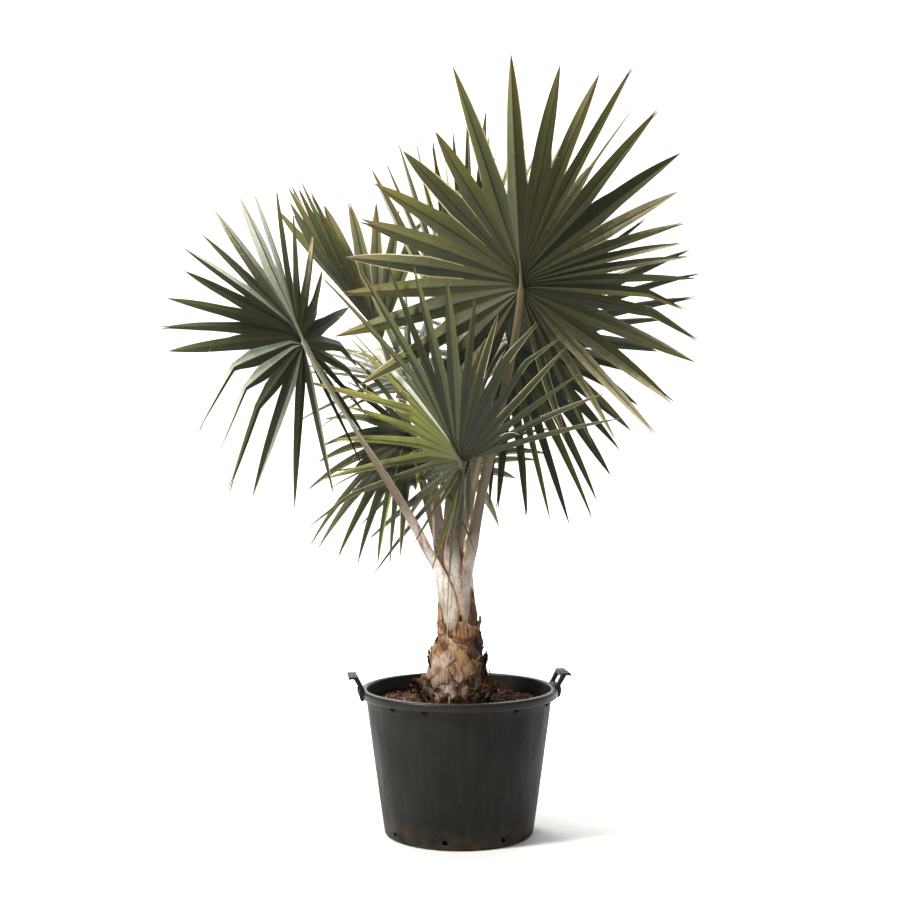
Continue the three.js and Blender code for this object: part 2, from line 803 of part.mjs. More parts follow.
// The petiole: a stout channelled stalk from its sheath on the trunk to under the hub
function makePetiole(frond, frame, grow = 0) {
  const [heading, above] = frond.foot;
  const footZ = SOIL_TOP + above;
  const out = headingVector(heading);
  const spear = above + SOIL_TOP >= TRUNK_HEART;
  const inSheath = (z) => {
    const radius = scaleRadius(z, footZ, SHEATH.lean) + SHEATH.thick / 2;
    return along(trunkMiddle(z), out, radius);
  };
  const stalkZ = footZ + SHEATH.height * SHEATH.stalk;
  const start = spear
    ? trunkMiddle(TRUNK_HEART).setZ(TRUNK_HEART + GAP * 2)
    : inSheath(stalkZ);
  const rise = spear ? UP : inSheath(stalkZ + 30).sub(start).normalize();
  const drop = LEAF_THICKNESS / 2 + PETIOLE_TIP[1] / 2 - SEAT_DEPTH;
  const end = along(frame.hub, frame.face, -drop);
  const chord = end.distanceTo(start);
  const homeward = end.clone().sub(start).normalize();
  const arrive = frame.rib.clone().multiplyScalar(0.55).add(homeward).normalize();
  const rising = arrive.dot(frame.face);
  if (rising < APPROACH) arrive.addScaledVector(frame.face, APPROACH - rising).normalize();
  const curve = new THREE.CubicBezierCurve3(
    start,
    along(start, rise, chord * FOOT_PULL),
    along(end, arrive, -chord * HUB_PULL),
    end,
  );
  const rings = [];
  for (let i = 0; i <= PETIOLE_STEPS; i += 1) {
    const t = i / PETIOLE_STEPS;
    const at = curve.getPoint(t);
    const run = curve.getTangent(t).normalize();
    const startSide = cross(run, out).normalize();
    const endSide = cross(run, frame.face).normalize();
    if (startSide.dot(endSide) < 0) startSide.negate();
    const side = step(startSide, endSide, THREE.MathUtils.smoothstep(t, 0.45, 1)).normalize();
    const deep = cross(side, run).normalize();
    const [broad, deepness] = stalkSize(t * chord + (spear ? SPEAR_START : 0));
    const wide = mix(broad, PETIOLE_TIP[0], t ** 3);
    const thick = mix(deepness, PETIOLE_TIP[1], t ** 3);
    const ring = [];
    for (let k = 0; k < 8; k += 1) {
      const turn = radians(45 * k + 22.5);
      const x = (Math.cos(turn) * (wide / 2 + grow)) / Math.cos(radians(22.5));
      const y = (Math.sin(turn) * (thick / 2 + grow)) / Math.cos(radians(22.5));
      ring.push(along(at, side, x).addScaledVector(deep, y));
    }
    rings.push(ring);
  }
  const stalk = solidOf(skin(rings));
  if (spear) return stalk;
  const sheath = scale({
    heading,
    foot: footZ,
    height: SHEATH.height,
    thick: SHEATH.thick,
    lean: SHEATH.lean,
    half: frond.hug,
    widths: SHEATH_WIDTHS,
    grow,
  });
  return stalk.add(solidOf(sheath));
}

// The inner petioles keep their full shape and press into the backs of the outer ones,
// and each petiole ends in a seat that follows the underside of its own blade
function pressTogether(frames, webs) {
  const order = FRONDS.map((_, i) => i).sort((a, b) => FRONDS[b].foot[1] - FRONDS[a].foot[1]);
  const core = solidOf(makeTrunk(PRESS));
  const made = [];
  const pressed = [];
  for (const i of order) {
    const below = frames[i].face.clone().multiplyScalar(-PRESS);
    const seat = webs[i].add(webs[i].translate([below.x, below.y, below.z]));
    const shape = [core, seat, ...pressed].reduce(
      (left, inner) => (touches(left, inner) ? left.subtract(inner) : left),
      makePetiole(FRONDS[i], frames[i]),
    );
    const bodies = shape.decompose().sort((a, b) => b.volume() - a.volume());
    made[i] = bodies[0];
    pressed.push(makePetiole(FRONDS[i], frames[i], PRESS));
  }
  return made;
}

// The palm and its tub, put together
const palm = new THREE.Group();

function place(parent, name, geometry, material) {
  const mesh = new THREE.Mesh(geometry, material);
  mesh.name = name;
  mesh.geometry.computeVertexNormals();
  parent.add(mesh);
  return mesh;
}

const container = new THREE.Group();
palm.add(container);
place(container, "tub", makeTub(), TUB_PLASTIC);
place(container, "handle_right", makeHandle(HANDLE_TURN), TUB_PLASTIC);
place(container, "handle_left", makeHandle(HANDLE_TURN + 180), TUB_PLASTIC);
place(container, "soil", makeSoil(), BARK_CHIPS);

const stem = new THREE.Group();
palm.add(stem);
place(stem, "trunk", makeTrunk(), TRUNK_BARK);
const boots = makeBoots();
boots.forEach(({ name, geometry }) => place(stem, name, geometry, OLD_LEAF_BASE));

const crown = new THREE.Group();
palm.add(crown);
const standing = boots.map(({ geometry }) => solidOf(geometry));
const frames = FRONDS.map(bladeFrame);
const leaflets = FRONDS.map((frond, i) => leafletsOf(frond, frames[i], 100 + i));
const webs = FRONDS.map((frond, i) => {
  const cut = leaflets[i].map((leaf) => ({ ...leaf, stub: true }));
  return solidOf(makeBlade(frond, frames[i], cut));
});
const petioles = pressTogether(frames, webs);
FRONDS.forEach((frond, i) => {
  place(crown, `petiole_${frond.name}`, geometryOf(petioles[i]), PETIOLE_SKIN);
});
standing.push(...petioles);
FRONDS.forEach((frond, i) => {
  const others = [...standing, ...webs.filter((_, k) => k > i)];
  leaflets[i].forEach((leaf) => settle(frond, frames[i], leaf, others));
  const blade = makeBlade(frond, frames[i], leaflets[i]);
  standing.push(solidOf(blade));
  place(crown, `blade_${frond.name}`, blade, LEAF_GREEN);
});

export default palm;
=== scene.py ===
# %% [markdown]
# A young Bismarck palm stands in a round black nursery tub. The imported solids already hold
# its sizes: the tub, the trunk, a sheaf of leaf stalks and eleven pleated fans. This file
# loads them first, because every finer piece has to stay inside their box.
# All lengths are in metres, the floor is at zero, and the camera looks along +Y.

# %% Load the solids that give the palm its sizes
import math

import bmesh
import bpy
import numpy as np
from mathutils.bvhtree import BVHTree
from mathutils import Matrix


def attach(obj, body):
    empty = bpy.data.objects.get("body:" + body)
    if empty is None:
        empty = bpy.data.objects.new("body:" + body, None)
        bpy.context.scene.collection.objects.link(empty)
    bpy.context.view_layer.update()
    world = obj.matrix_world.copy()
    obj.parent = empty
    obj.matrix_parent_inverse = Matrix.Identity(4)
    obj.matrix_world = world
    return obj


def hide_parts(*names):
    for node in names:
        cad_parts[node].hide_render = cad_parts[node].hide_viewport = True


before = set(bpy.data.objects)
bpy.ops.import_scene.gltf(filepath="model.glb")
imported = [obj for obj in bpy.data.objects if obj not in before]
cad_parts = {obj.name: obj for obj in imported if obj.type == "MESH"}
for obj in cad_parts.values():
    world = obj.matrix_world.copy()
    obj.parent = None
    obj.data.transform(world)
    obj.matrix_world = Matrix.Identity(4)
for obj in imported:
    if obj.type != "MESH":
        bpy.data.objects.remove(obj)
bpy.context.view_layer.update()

scene = bpy.context.scene

# %% [markdown]
# A photo of a tall plant is taken from some way off with a moderate lens, so that near and
# far fronds keep their true sizes. The camera stands 4.6 m in front of the tub at the height
# of the lowest fan and looks down by less than a degree, which is what the ellipse of the
# tub's lip shows.

# %% Camera
CAMERA_PLACE = (-0.027, -4.6, 1.215)
DOWNWARD_TILT = 0.69
camera_data = bpy.data.cameras.new("camera")
camera_data.sensor_width = 36.0
camera_data.lens = 60.72
camera_data.clip_end = 60.0
camera = bpy.data.objects.new("camera", camera_data)
camera.location = CAMERA_PLACE
camera.rotation_euler = (math.radians(90 - DOWNWARD_TILT), 0, 0)
scene.collection.objects.link(camera)
scene.camera = camera
print("camera lens", camera_data.lens, "at", CAMERA_PLACE)

# %% [markdown]
# The floor is one pale sheet of paper that curves up behind the plant, as in a studio. Its
# profile is a flat run, a quarter circle and an upright, and the same profile at both sides
# gives the strips. Matt paint keeps the plant's shadow soft and the backdrop free of glare.

# %% Studio floor with a curved back
FLOOR_FRONT, FLOOR_HALF = -14.0, 16.0
SWEEP_START, SWEEP_RADIUS, SWEEP_HEIGHT, SWEEP_STEPS = 5.0, 3.0, 9.0, 17


def sweep_profile():
    turns = np.linspace(0, math.pi / 2, SWEEP_STEPS)
    curve = [(SWEEP_START + SWEEP_RADIUS * math.sin(t), SWEEP_RADIUS * (1 - math.cos(t))) for t in turns]
    return [(FLOOR_FRONT, 0.0), (0.0, 0.0), *curve, (SWEEP_START + SWEEP_RADIUS, SWEEP_HEIGHT)]


floor_mesh = bpy.data.meshes.new("studio_floor")
profile = sweep_profile()
corners = [(x, y, z) for y, z in profile for x in (-FLOOR_HALF, FLOOR_HALF)]
strips = [(2 * i, 2 * i + 1, 2 * i + 3, 2 * i + 2) for i in range(len(profile) - 1)]
floor_mesh.from_pydata(corners, [], strips)
floor_mesh.shade_smooth()
studio_floor = bpy.data.objects.new("studio_floor", floor_mesh)
scene.collection.objects.link(studio_floor)

floor_paint = bpy.data.materials.new("studio_paper")
floor_paint.use_nodes = True
floor_shader = floor_paint.node_tree.nodes["Principled BSDF"]
floor_shader.inputs["Base Color"].default_value = (0.83, 0.83, 0.82, 1)
floor_shader.inputs["Roughness"].default_value = 0.9
floor_mesh.materials.append(floor_paint)
print("floor strips:", len(strips))

# %% [markdown]
# Daylight comes from the upper left in the photo: the tub and the trunk are bright on that
# side, and the fans catch light on the faces that turn up and left. A disk light gives that
# direction, and its size gives shadows with a soft rim. A second one behind the crown makes
# the leaf edges glow. A dim white world fills the shade, and a wash keeps the backdrop pale.

# %% Lights
world = bpy.data.worlds.new("white_room")
world.use_nodes = True
world.node_tree.nodes["Background"].inputs["Color"].default_value = (1.0, 0.99, 0.97, 1)
world.node_tree.nodes["Background"].inputs["Strength"].default_value = 0.4
scene.world = world
scene.view_settings.view_transform = "Standard"


def add_softbox(name, place, aim, size, power, tint):
    lamp = bpy.data.lights.new(name, "AREA")
    lamp.shape = "DISK"
    lamp.size = size
    lamp.energy = power
    lamp.color = tint
    box = bpy.data.objects.new(name, lamp)
    box.location = place
    x, y, z = np.array(aim) - np.array(place)
    box.rotation_euler = (math.atan2(math.hypot(x, y), -z), 0, math.atan2(y, x) - math.pi / 2)
    scene.collection.objects.link(box)


add_softbox("key_softbox", (-3.6, -2.4, 4.8), (0, 0, 1.2), size=1.1, power=510, tint=(1.0, 0.985, 0.955))
add_softbox("back_softbox", (-1.2, 3.4, 4.8), (0, 0, 1.5), size=1.4, power=210, tint=(1.0, 0.98, 0.95))
add_softbox("backdrop_wash", (0, 1.5, 8.0), (0, 8.0, 2.5), size=5.0, power=1100, tint=(1.0, 1.0, 1.0))
print("lights:", [lamp.name for lamp in bpy.data.lights])

# %% [markdown]
# The plant grows by a rule, and the rule works with directions and seeded draws. A heading
# is an angle round the trunk, a climb is an angle above the horizon. The draws come from a
# small generator written out here, so the same seed gives the same leaf in every run and in
# every program. A short list of widths or lengths is read between its entries.

# %% Directions, lists and seeded draws
MM = 0.001
UP = np.array([0.0, 0.0, 1.0])
DOWN = -UP
BOX_CORNERS = ((-1, -1), (1, -1), (1, 1), (-1, 1))


def heading_vector(heading, climb=0.0):
    a, c = math.radians(heading), math.radians(climb)
    return np.array([math.cos(c) * math.cos(a), math.cos(c) * math.sin(a), math.sin(c)])


def unit(v):
    return v / np.linalg.norm(v)


def mix(a, b, t):
    return a + (b - a) * t


def smoothstep(x, low, high):
    t = np.clip((x - low) / (high - low), 0, 1)
    return t * t * (3 - 2 * t)


def read_list(values, t):
    return np.interp(np.clip(t, 0, 1), np.linspace(0, 1, len(values)), values)


class Draws:
    """A seeded row of numbers from 0 to 1."""

    GROW, STEP, SPAN = 1664525, 1013904223, 2 ** 32

    def __init__(self, seed):
        self.state = seed % self.SPAN

    def next(self):
        self.state = (self.state * self.GROW + self.STEP) % self.SPAN
        return self.state / self.SPAN

    def either(self):
        return self.next() * 2 - 1


print("first draw of seed 100:", round(Draws(100).next(), 4))

# %% [markdown]
# Most pieces of a plant are sheets and tubes: a row of points, then the next row. A maker
# keeps such grids and turns them into one mesh at the end. It also keeps, for each face, the
# number of its finish, and for each point a place on a flat map whose first direction runs
# along the leaf. Joining many leaflets in one mesh keeps the scene quick to render.

# %% A maker of joined grids
class Maker:
    def __init__(self):
        self.points, self.faces, self.finish, self.map = [], [], [], []
        self.count = 0

    def grid(self, points, finish=0, place=None, wrap=False, flip=False):
        rows, cols = points.shape[:2]
        r, c = np.meshgrid(np.arange(rows - 1), np.arange(cols if wrap else cols - 1), indexing="ij")
        n = (c + 1) % cols
        quads = np.stack([r * cols + c, r * cols + n, (r + 1) * cols + n, (r + 1) * cols + c], -1)
        if flip:
            quads = quads[..., ::-1]
        self.faces.append(quads.reshape(-1, 4) + self.count)
        self.finish.append(np.broadcast_to(finish, r.shape).reshape(-1))
        if place is None:
            evenly = np.meshgrid(np.linspace(0, 1, rows), np.linspace(0, 1, cols), indexing="ij")
            place = np.stack(evenly, -1)
        self.points.append(points.reshape(-1, 3))
        self.map.append(place.reshape(-1, 2))
        self.count += rows * cols

    def fan(self, ring, finish=0, flip=False):
        size = len(ring)
        i = np.arange(size)
        tris = np.stack([i, (i + 1) % size, np.full(size, size)], -1)
        if flip:
            tris = tris[:, ::-1]
        self.faces.append(tris + self.count)
        self.finish.append(np.full(size, finish))
        self.points.append(np.vstack([ring, ring.mean(0)]))
        self.map.append(np.zeros((size + 1, 2)))
        self.count += size + 1


def make_piece(name, maker, finishes, replaced=(), smooth=True):
    """Turns a maker's grids into one object that rides on the root body."""
    mesh = bpy.data.meshes.new(name)
    faces = [f for block in maker.faces for f in block.tolist()]
    mesh.from_pydata((np.vstack(maker.points) * MM).tolist(), [], faces)
    for finish in finishes:
        mesh.materials.append(finish)
    mesh.polygons.foreach_set("material_index", np.concatenate(maker.finish).astype(np.int32))
    mesh.polygons.foreach_set("use_smooth", np.full(len(mesh.polygons), smooth))
    corner_points = np.zeros(len(mesh.loops), np.int32)
    mesh.loops.foreach_get("vertex_index", corner_points)
    flat = mesh.uv_layers.new(name="along_and_across")
    flat.data.foreach_set("uv", np.vstack(maker.map)[corner_points].reshape(-1))
    mesh.update()
    piece = bpy.data.objects.new(name, mesh)
    scene.collection.objects.link(piece)
    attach(piece, "root")
    if replaced:
        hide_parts(*replaced)
    print(f"{name}: {len(mesh.polygons)} faces, {len(finishes)} finishes")
    return piece


# %% [markdown]
# A finish is a material. Several of them share an effect, such as the fibres that run along
# old leaf bases, or dust that settles low down. Each shared effect is a shader node group
# with named sockets: it is drawn once, and each material sets its own scale and strength.
# A group hands back masks and heights only, and the shader stays in the material. The small
# helpers below each add one node or two, and hand back the socket that the next one takes.

# %% Helpers for node trees
def srgb(r, g, b):
    """A colour as a screen shows it, 0 to 255, turned into light values."""
    parts = (r / 255, g / 255, b / 255)
    return tuple(c / 12.92 if c <= 0.04045 else ((c + 0.055) / 1.055) ** 2.4 for c in parts)


def feed(tree, socket, value):
    """A number or a colour is set on the socket, and anything else is linked to it."""
    if isinstance(value, (int, float)):
        socket.default_value = value
    elif isinstance(value, tuple):
        socket.default_value = (*value, 1)
    else:
        tree.links.new(value, socket)


def new_group(name, inputs, outputs):
    """An empty node group with float sockets: inputs is {name: default}, outputs a list."""
    tree = bpy.data.node_groups.new(name, "ShaderNodeTree")
    for label, value in inputs.items():
        socket = tree.interface.new_socket(label, in_out="INPUT", socket_type="NodeSocketFloat")
        socket.default_value = value
    for label in outputs:
        tree.interface.new_socket(label, in_out="OUTPUT", socket_type="NodeSocketFloat")
    return tree, tree.nodes.new("NodeGroupInput").outputs, tree.nodes.new("NodeGroupOutput").inputs


def place_node(tree, kind="Object"):
    return tree.nodes.new("ShaderNodeTexCoord").outputs[kind]


def axis_node(tree, vector, axis):
    node = tree.nodes.new("ShaderNodeSeparateXYZ")
    tree.links.new(vector, node.inputs[0])
    return node.outputs[axis]


def math_node(tree, operation, a, b=0.5, clamp=False):
    node = tree.nodes.new("ShaderNodeMath")
    node.operation = operation
    node.use_clamp = clamp
    feed(tree, node.inputs[0], a)
    feed(tree, node.inputs[1], b)
    return node.outputs[0]


def range_node(tree, value, low, high, to_low=0.0, to_high=1.0):
    node = tree.nodes.new("ShaderNodeMapRange")
    tree.links.new(value, node.inputs["Value"])
    for label, number in (("From Min", low), ("From Max", high), ("To Min", to_low), ("To Max", to_high)):
        feed(tree, node.inputs[label], number)
    return node.outputs["Result"]


def noise_node(tree, vector, scale, detail, roughness, low=None, high=None):
    """Noise, or a mask made of it: 0 where the noise is below low, 1 where it is above high."""
    node = tree.nodes.new("ShaderNodeTexNoise")
    node.inputs["Detail"].default_value = detail
    node.inputs["Roughness"].default_value = roughness
    tree.links.new(vector, node.inputs["Vector"])
    feed(tree, node.inputs["Scale"], scale)
    noise = node.outputs["Fac"]
    return noise if low is None else range_node(tree, noise, low, high)


def stretched(tree, vector, x, y, z):
    """The same coordinates squeezed or drawn out on each axis."""
    node = tree.nodes.new("ShaderNodeVectorMath")
    node.operation = "MULTIPLY"
    tree.links.new(vector, node.inputs[0])
    node.inputs[1].default_value = (x, y, z)
    return node.outputs["Vector"]


def mix_colours(tree, mask, first, second, share=1.0):
    """The second colour over the first where the mask is, at a share of its strength."""
    if share != 1.0:
        mask = math_node(tree, "MULTIPLY", mask, share)
    node = tree.nodes.new("ShaderNodeMix")
    node.data_type = "RGBA"
    tree.links.new(mask, node.inputs[0])
    feed(tree, node.inputs[6], first)
    feed(tree, node.inputs[7], second)
    return node.outputs[2]


print("dark olive as light values:", [round(c, 3) for c in srgb(80, 82, 55)])

# %% [markdown]
# Fibres are noise squeezed flat along the height, so that it runs in long threads. Specks
# are the peaks of a fine noise, dust fades out with height and lies in patches, and leaf
# veins are a sine wave across the flat map of a leaf, roughened by fine pores.

# %% Shared effects: fibres, specks, dust and leaf veins
def build_fibres():
    tree, given, made = new_group("fibres", {"Fineness": 120.0, "Run": 6.0}, ["Mask", "Height"])
    where = place_node(tree)
    fine = noise_node(tree, stretched(tree, where, 1.0, 1.0, 0.06), given["Fineness"], 5.0, 0.6)
    broad = noise_node(tree, where, given["Run"], 3.0, 0.5)
    threads = math_node(tree, "MULTIPLY", fine, 0.65)
    both = math_node(tree, "ADD", threads, math_node(tree, "MULTIPLY", broad, 0.35))
    tree.links.new(range_node(tree, both, 0.41, 0.59), made["Mask"])
    tree.links.new(fine, made["Height"])
    return tree


def build_specks():
    tree, given, made = new_group("specks", {"Scale": 300.0, "Cut": 0.68}, ["Mask"])
    grains = noise_node(tree, place_node(tree), given["Scale"], 2.0, 0.5)
    high = math_node(tree, "ADD", given["Cut"], 0.05)
    tree.links.new(range_node(tree, grains, given["Cut"], high), made["Mask"])
    return tree


def build_low_dust():
    tree, given, made = new_group("low_dust", {"Bottom": 0.0, "Top": 0.1, "Patch": 14.0}, ["Mask"])
    where = place_node(tree)
    fading = range_node(tree, axis_node(tree, where, "Z"), given["Top"], given["Bottom"])
    patches = noise_node(tree, where, given["Patch"], 5.0, 0.6, 0.35, 0.7)
    tree.links.new(math_node(tree, "MULTIPLY", fading, patches, clamp=True), made["Mask"])
    return tree


def build_leaf_veins():
    tree, given, made = new_group("leaf_veins", {"Fineness": 900.0}, ["Height"])
    where = place_node(tree, "UV")
    across = math_node(tree, "MULTIPLY", axis_node(tree, where, "Y"), given["Fineness"])
    ridge = math_node(tree, "SINE", math_node(tree, "MULTIPLY", across, 6.283))
    pores = noise_node(tree, stretched(tree, where, 18.0, 700.0, 1.0), 1.0, 3.0, 0.6)
    tree.links.new(math_node(tree, "ADD", math_node(tree, "MULTIPLY", ridge, 0.3), pores), made["Height"])
    return tree


FIBRES, SPECKS, LOW_DUST, LEAF_VEINS = build_fibres(), build_specks(), build_low_dust(), build_leaf_veins()


def use_group(material, group, **values):
    node = material.node_tree.nodes.new("ShaderNodeGroup")
    node.node_tree = group
    for label, value in values.items():
        node.inputs[label].default_value = value
    return node.outputs


def new_finish(name, roughness, specular):
    material = bpy.data.materials.new(name)
    material.use_nodes = True
    shader = material.node_tree.nodes["Principled BSDF"]
    shader.inputs["Roughness"].default_value = roughness
    shader.inputs["Specular IOR Level"].default_value = specular
    return material, material.node_tree, shader


def add_bump(tree, shader, height, strength, distance):
    bump = tree.nodes.new("ShaderNodeBump")
    bump.inputs["Strength"].default_value = strength
    bump.inputs["Distance"].default_value = distance
    tree.links.new(height, bump.inputs["Height"])
    tree.links.new(bump.outputs["Normal"], shader.inputs["Normal"])


print("groups:", [g.name for g in (FIBRES, SPECKS, LOW_DUST, LEAF_VEINS)])

# %% [markdown]
# The tub is moulded black plastic that has stood outdoors. It is not a plain black: the sun
# has greyed it, rain has left faint upright streaks, handling has left pale scuffs, and
# splashed soil leaves brown dust near the ground. The streaks and scuffs come from stretched
# noise, the dust from the shared group, and a fine grain keeps its gloss from looking wet.

# %% Tub plastic
RUB_SPOT, RUB_REACH = (-0.01, -0.24, 0.135), 0.075


def build_tub_plastic(name, dusty, specular, matt):
    """Dusty is the height of the dust in metres, matt the roughness between and in the streaks."""
    material, tree, shader = new_finish(name, 0.5, specular)
    where = place_node(tree)
    cloud = noise_node(tree, where, 5.0, 6.0, 0.65, 0.35, 0.7)
    runs = noise_node(tree, stretched(tree, where, 1.0, 1.0, 0.08), 26.0, 4.0, 0.6, 0.42, 0.68)
    body = mix_colours(tree, cloud, srgb(22, 21, 19), srgb(31, 30, 27))
    rained = mix_colours(tree, runs, body, srgb(41, 40, 36), 0.28)
    scuff = noise_node(tree, stretched(tree, where, 9.0, 9.0, 60.0), 1.6, 6.0, 0.75, 0.65, 0.74)
    worn = mix_colours(tree, scuff, rained, srgb(84, 78, 68), 0.16)
    away = tree.nodes.new("ShaderNodeVectorMath")
    away.operation = "DISTANCE"
    tree.links.new(where, away.inputs[0])
    away.inputs[1].default_value = RUB_SPOT
    near = range_node(tree, away.outputs["Value"], RUB_REACH, 0.0)
    scratch = noise_node(tree, stretched(tree, where, 22.0, 22.0, 90.0), 5.0, 5.0, 0.7, 0.56, 0.7)
    rub = math_node(tree, "MULTIPLY", near, scratch, clamp=True)
    marked = mix_colours(tree, rub, worn, srgb(92, 84, 72), 0.4)
    dust = use_group(material, LOW_DUST, Bottom=-0.01, Top=dusty, Patch=22.0)["Mask"]
    dusted = mix_colours(tree, dust, marked, srgb(84, 66, 52), 0.75)
    grit = use_group(material, SPECKS, Scale=210.0, Cut=0.71)["Mask"]
    speckled = mix_colours(tree, grit, dusted, srgb(84, 76, 64), 0.3)
    tree.links.new(speckled, shader.inputs["Base Color"])
    tree.links.new(range_node(tree, runs, 0.0, 1.0, *matt), shader.inputs["Roughness"])
    add_bump(tree, shader, noise_node(tree, where, 420.0, 3.0, 0.6), 0.12, 0.0006)
    return material


TUB_PLASTIC = build_tub_plastic("weathered_black_plastic", 0.075, 0.12, (0.58, 0.42))
LIP_PLASTIC = build_tub_plastic("smooth_lip_plastic", 0.0, 0.22, (0.4, 0.3))
print("finishes:", TUB_PLASTIC.name, LIP_PLASTIC.name)

# %% [markdown]
# The tub itself is a turned shape: one outline spun round the upright axis. The outline
# repeats the sizes of the solid, with more sides and a properly rolled lip, so the edge
# against the light is smooth. The lip is handled more than the wall and has kept its gloss.
# A few small dark pegs sit under it, where the mould was keyed.

# %% Tub
TUB_HEIGHT, LIP_RADIUS, LIP_DEPTH, LIP_ROLL = 440, 300, 24, 8
LIP_LOW, LIP_HOLLOW, INNER_ROLL = TUB_HEIGHT - LIP_DEPTH, (LIP_RADIUS - 4.5, 431), 6
WALL_TOP, BASE_RADIUS, BASE_CORNER, WALL, FLOOR = 285, 225, 12, 6, 8
UNDERSIDE = [(0.0, 3.0), (150.0, 3.0), (180.0, 0.0)]
WALL_BOWS = ((40, 0.2), (100, 0.6), (180, 0.9), (260, 0.9), (330, 0.6), (385, 0.2))
LIP_EDGE = ((3.5, 0), (1.2, 0.4), (0.2, 2.5), (0, 6))
TUB_SIDES = 192
PEG_HEADINGS = [-134, -111, -54, -22, 16, 50, 92, 131, 168]
PEG_HEIGHT, PEG_STEPS = 405, ((-2.0, 7.0, 5.0), (3.5, 6.5, 4.6), (5.5, 4.5, 3.0))


def wall_radius(z):
    return mix(BASE_RADIUS, WALL_TOP, z / TUB_HEIGHT)


def rounded(radius, height, size, first, last, count=7):
    """Points of a corner's arc, from one angle to another, about (radius, height)."""
    turns = np.linspace(first, last, count)
    return [(radius + size * math.cos(t), height + size * math.sin(t)) for t in turns]


def tub_outline():
    quarter, inner, corner = math.pi / 2, WALL_TOP - WALL, BASE_CORNER
    outline = UNDERSIDE + rounded(wall_radius(corner) - corner, corner, corner, -quarter, 0)
    outline += [(wall_radius(z) + bow, z) for z, bow in WALL_BOWS]
    outline += [(wall_radius(LIP_HOLLOW[1]), LIP_HOLLOW[1]), LIP_HOLLOW, (LIP_HOLLOW[0], LIP_LOW + 1)]
    outline += [(LIP_RADIUS - back, LIP_LOW + up) for back, up in LIP_EDGE]
    outline += rounded(LIP_RADIUS - LIP_ROLL, TUB_HEIGHT - LIP_ROLL, LIP_ROLL, 0, quarter)
    outline += rounded(inner + INNER_ROLL, TUB_HEIGHT - INNER_ROLL, INNER_ROLL, quarter, math.pi, 6)
    outline += [(inner - 1, 424), (inner - 4.5, 406), (wall_radius(380) - WALL, 380)]
    return outline + [(wall_radius(FLOOR) - WALL, FLOOR), (0.0, FLOOR)]


def spin(outline, sides):
    """The outline's points carried round; on the axis they keep a hair's radius."""
    turns = np.linspace(0, 2 * math.pi, sides, endpoint=False)
    rings = [(max(r, 0.01), z) for r, z in outline]
    return np.array([[(r * math.cos(t), r * math.sin(t), z) for t in turns] for r, z in rings])


def add_peg(maker, heading):
    around = heading_vector(heading)
    side = np.cross(UP, around)
    rows = []
    for reach, half, tall in PEG_STEPS:
        middle = around * (wall_radius(PEG_HEIGHT) + reach)
        rows.append([middle + side * a * half + UP * (PEG_HEIGHT + b * tall) for a, b in BOX_CORNERS])
    maker.grid(np.array(rows), wrap=True)
    maker.fan(np.array(rows[-1]))


tub_maker = Maker()
on_lip = np.array([[int(z >= LIP_LOW)] for _, z in tub_outline()[:-1]])
tub_maker.grid(spin(tub_outline(), TUB_SIDES), finish=on_lip, wrap=True)
for heading in PEG_HEADINGS:
    add_peg(tub_maker, heading)
tub_piece = make_piece("nursery_tub", tub_maker, [TUB_PLASTIC, LIP_PLASTIC], ["tub"])

# %% [markdown]
# Eight drain holes go through the wall just above the base. They are cut as they would be
# punched: short cylinders point inwards through the wall, and a Boolean takes them away. The
# result is written back as a plain mesh, so no modifier stays on the tub.

# %% Drain holes
HOLE_COUNT, HOLE_START, HOLE_HEIGHT, HOLE_RADIUS, PUNCH_LENGTH = 8, 34.5, 24, 0.007, 0.04


def carve(piece, shape, rounding=0.0):
    """Cuts a bmesh shape out of a piece, rounds the edges if asked, and hands back the mesh."""
    tool = bpy.data.meshes.new("cutter")
    shape.to_mesh(tool)
    shape.free()
    cutter = bpy.data.objects.new("cutter", tool)
    scene.collection.objects.link(cutter)
    cut = piece.modifiers.new("cut", "BOOLEAN")
    cut.operation, cut.solver, cut.object = "DIFFERENCE", "EXACT", cutter
    if rounding:
        soft = piece.modifiers.new("soft_edges", "BEVEL")
        soft.width, soft.segments = rounding, 3
        soft.limit_method, soft.angle_limit = "ANGLE", math.radians(35)
    made = bpy.data.meshes.new_from_object(piece.evaluated_get(bpy.context.evaluated_depsgraph_get()))
    piece.modifiers.clear()
    bpy.data.objects.remove(cutter)
    return made


punches = bmesh.new()
round_punch = dict(cap_ends=True, segments=24, radius1=HOLE_RADIUS, radius2=HOLE_RADIUS, depth=PUNCH_LENGTH)
for i in range(HOLE_COUNT):
    punch = bmesh.ops.create_cone(punches, **round_punch)
    turned = heading_vector(HOLE_START + 360 / HOLE_COUNT * i)
    for v in punch["verts"]:
        x, y, d = v.co
        in_wall = (wall_radius(HOLE_HEIGHT) - WALL / 2) * MM + d
        v.co = turned * in_wall + np.cross(UP, turned) * x + UP * (HOLE_HEIGHT * MM + y)
tub_piece.data = carve(tub_piece, punches)
print("faces after punching:", len(tub_piece.data.polygons))

# %% [markdown]
# Each handle is a flat hoop that stands on the lip: two posts that lean outwards and a grip
# that is folded over at the top, so that it doesn't cut into the hand. It is one outline
# drawn from the side, pulled out to its length, with the finger gap cut through it. Below
# it, a lug on the lip's outer side takes up the pull. A bevel rounds the hoop's edges, because
# moulded plastic never has a sharp one.

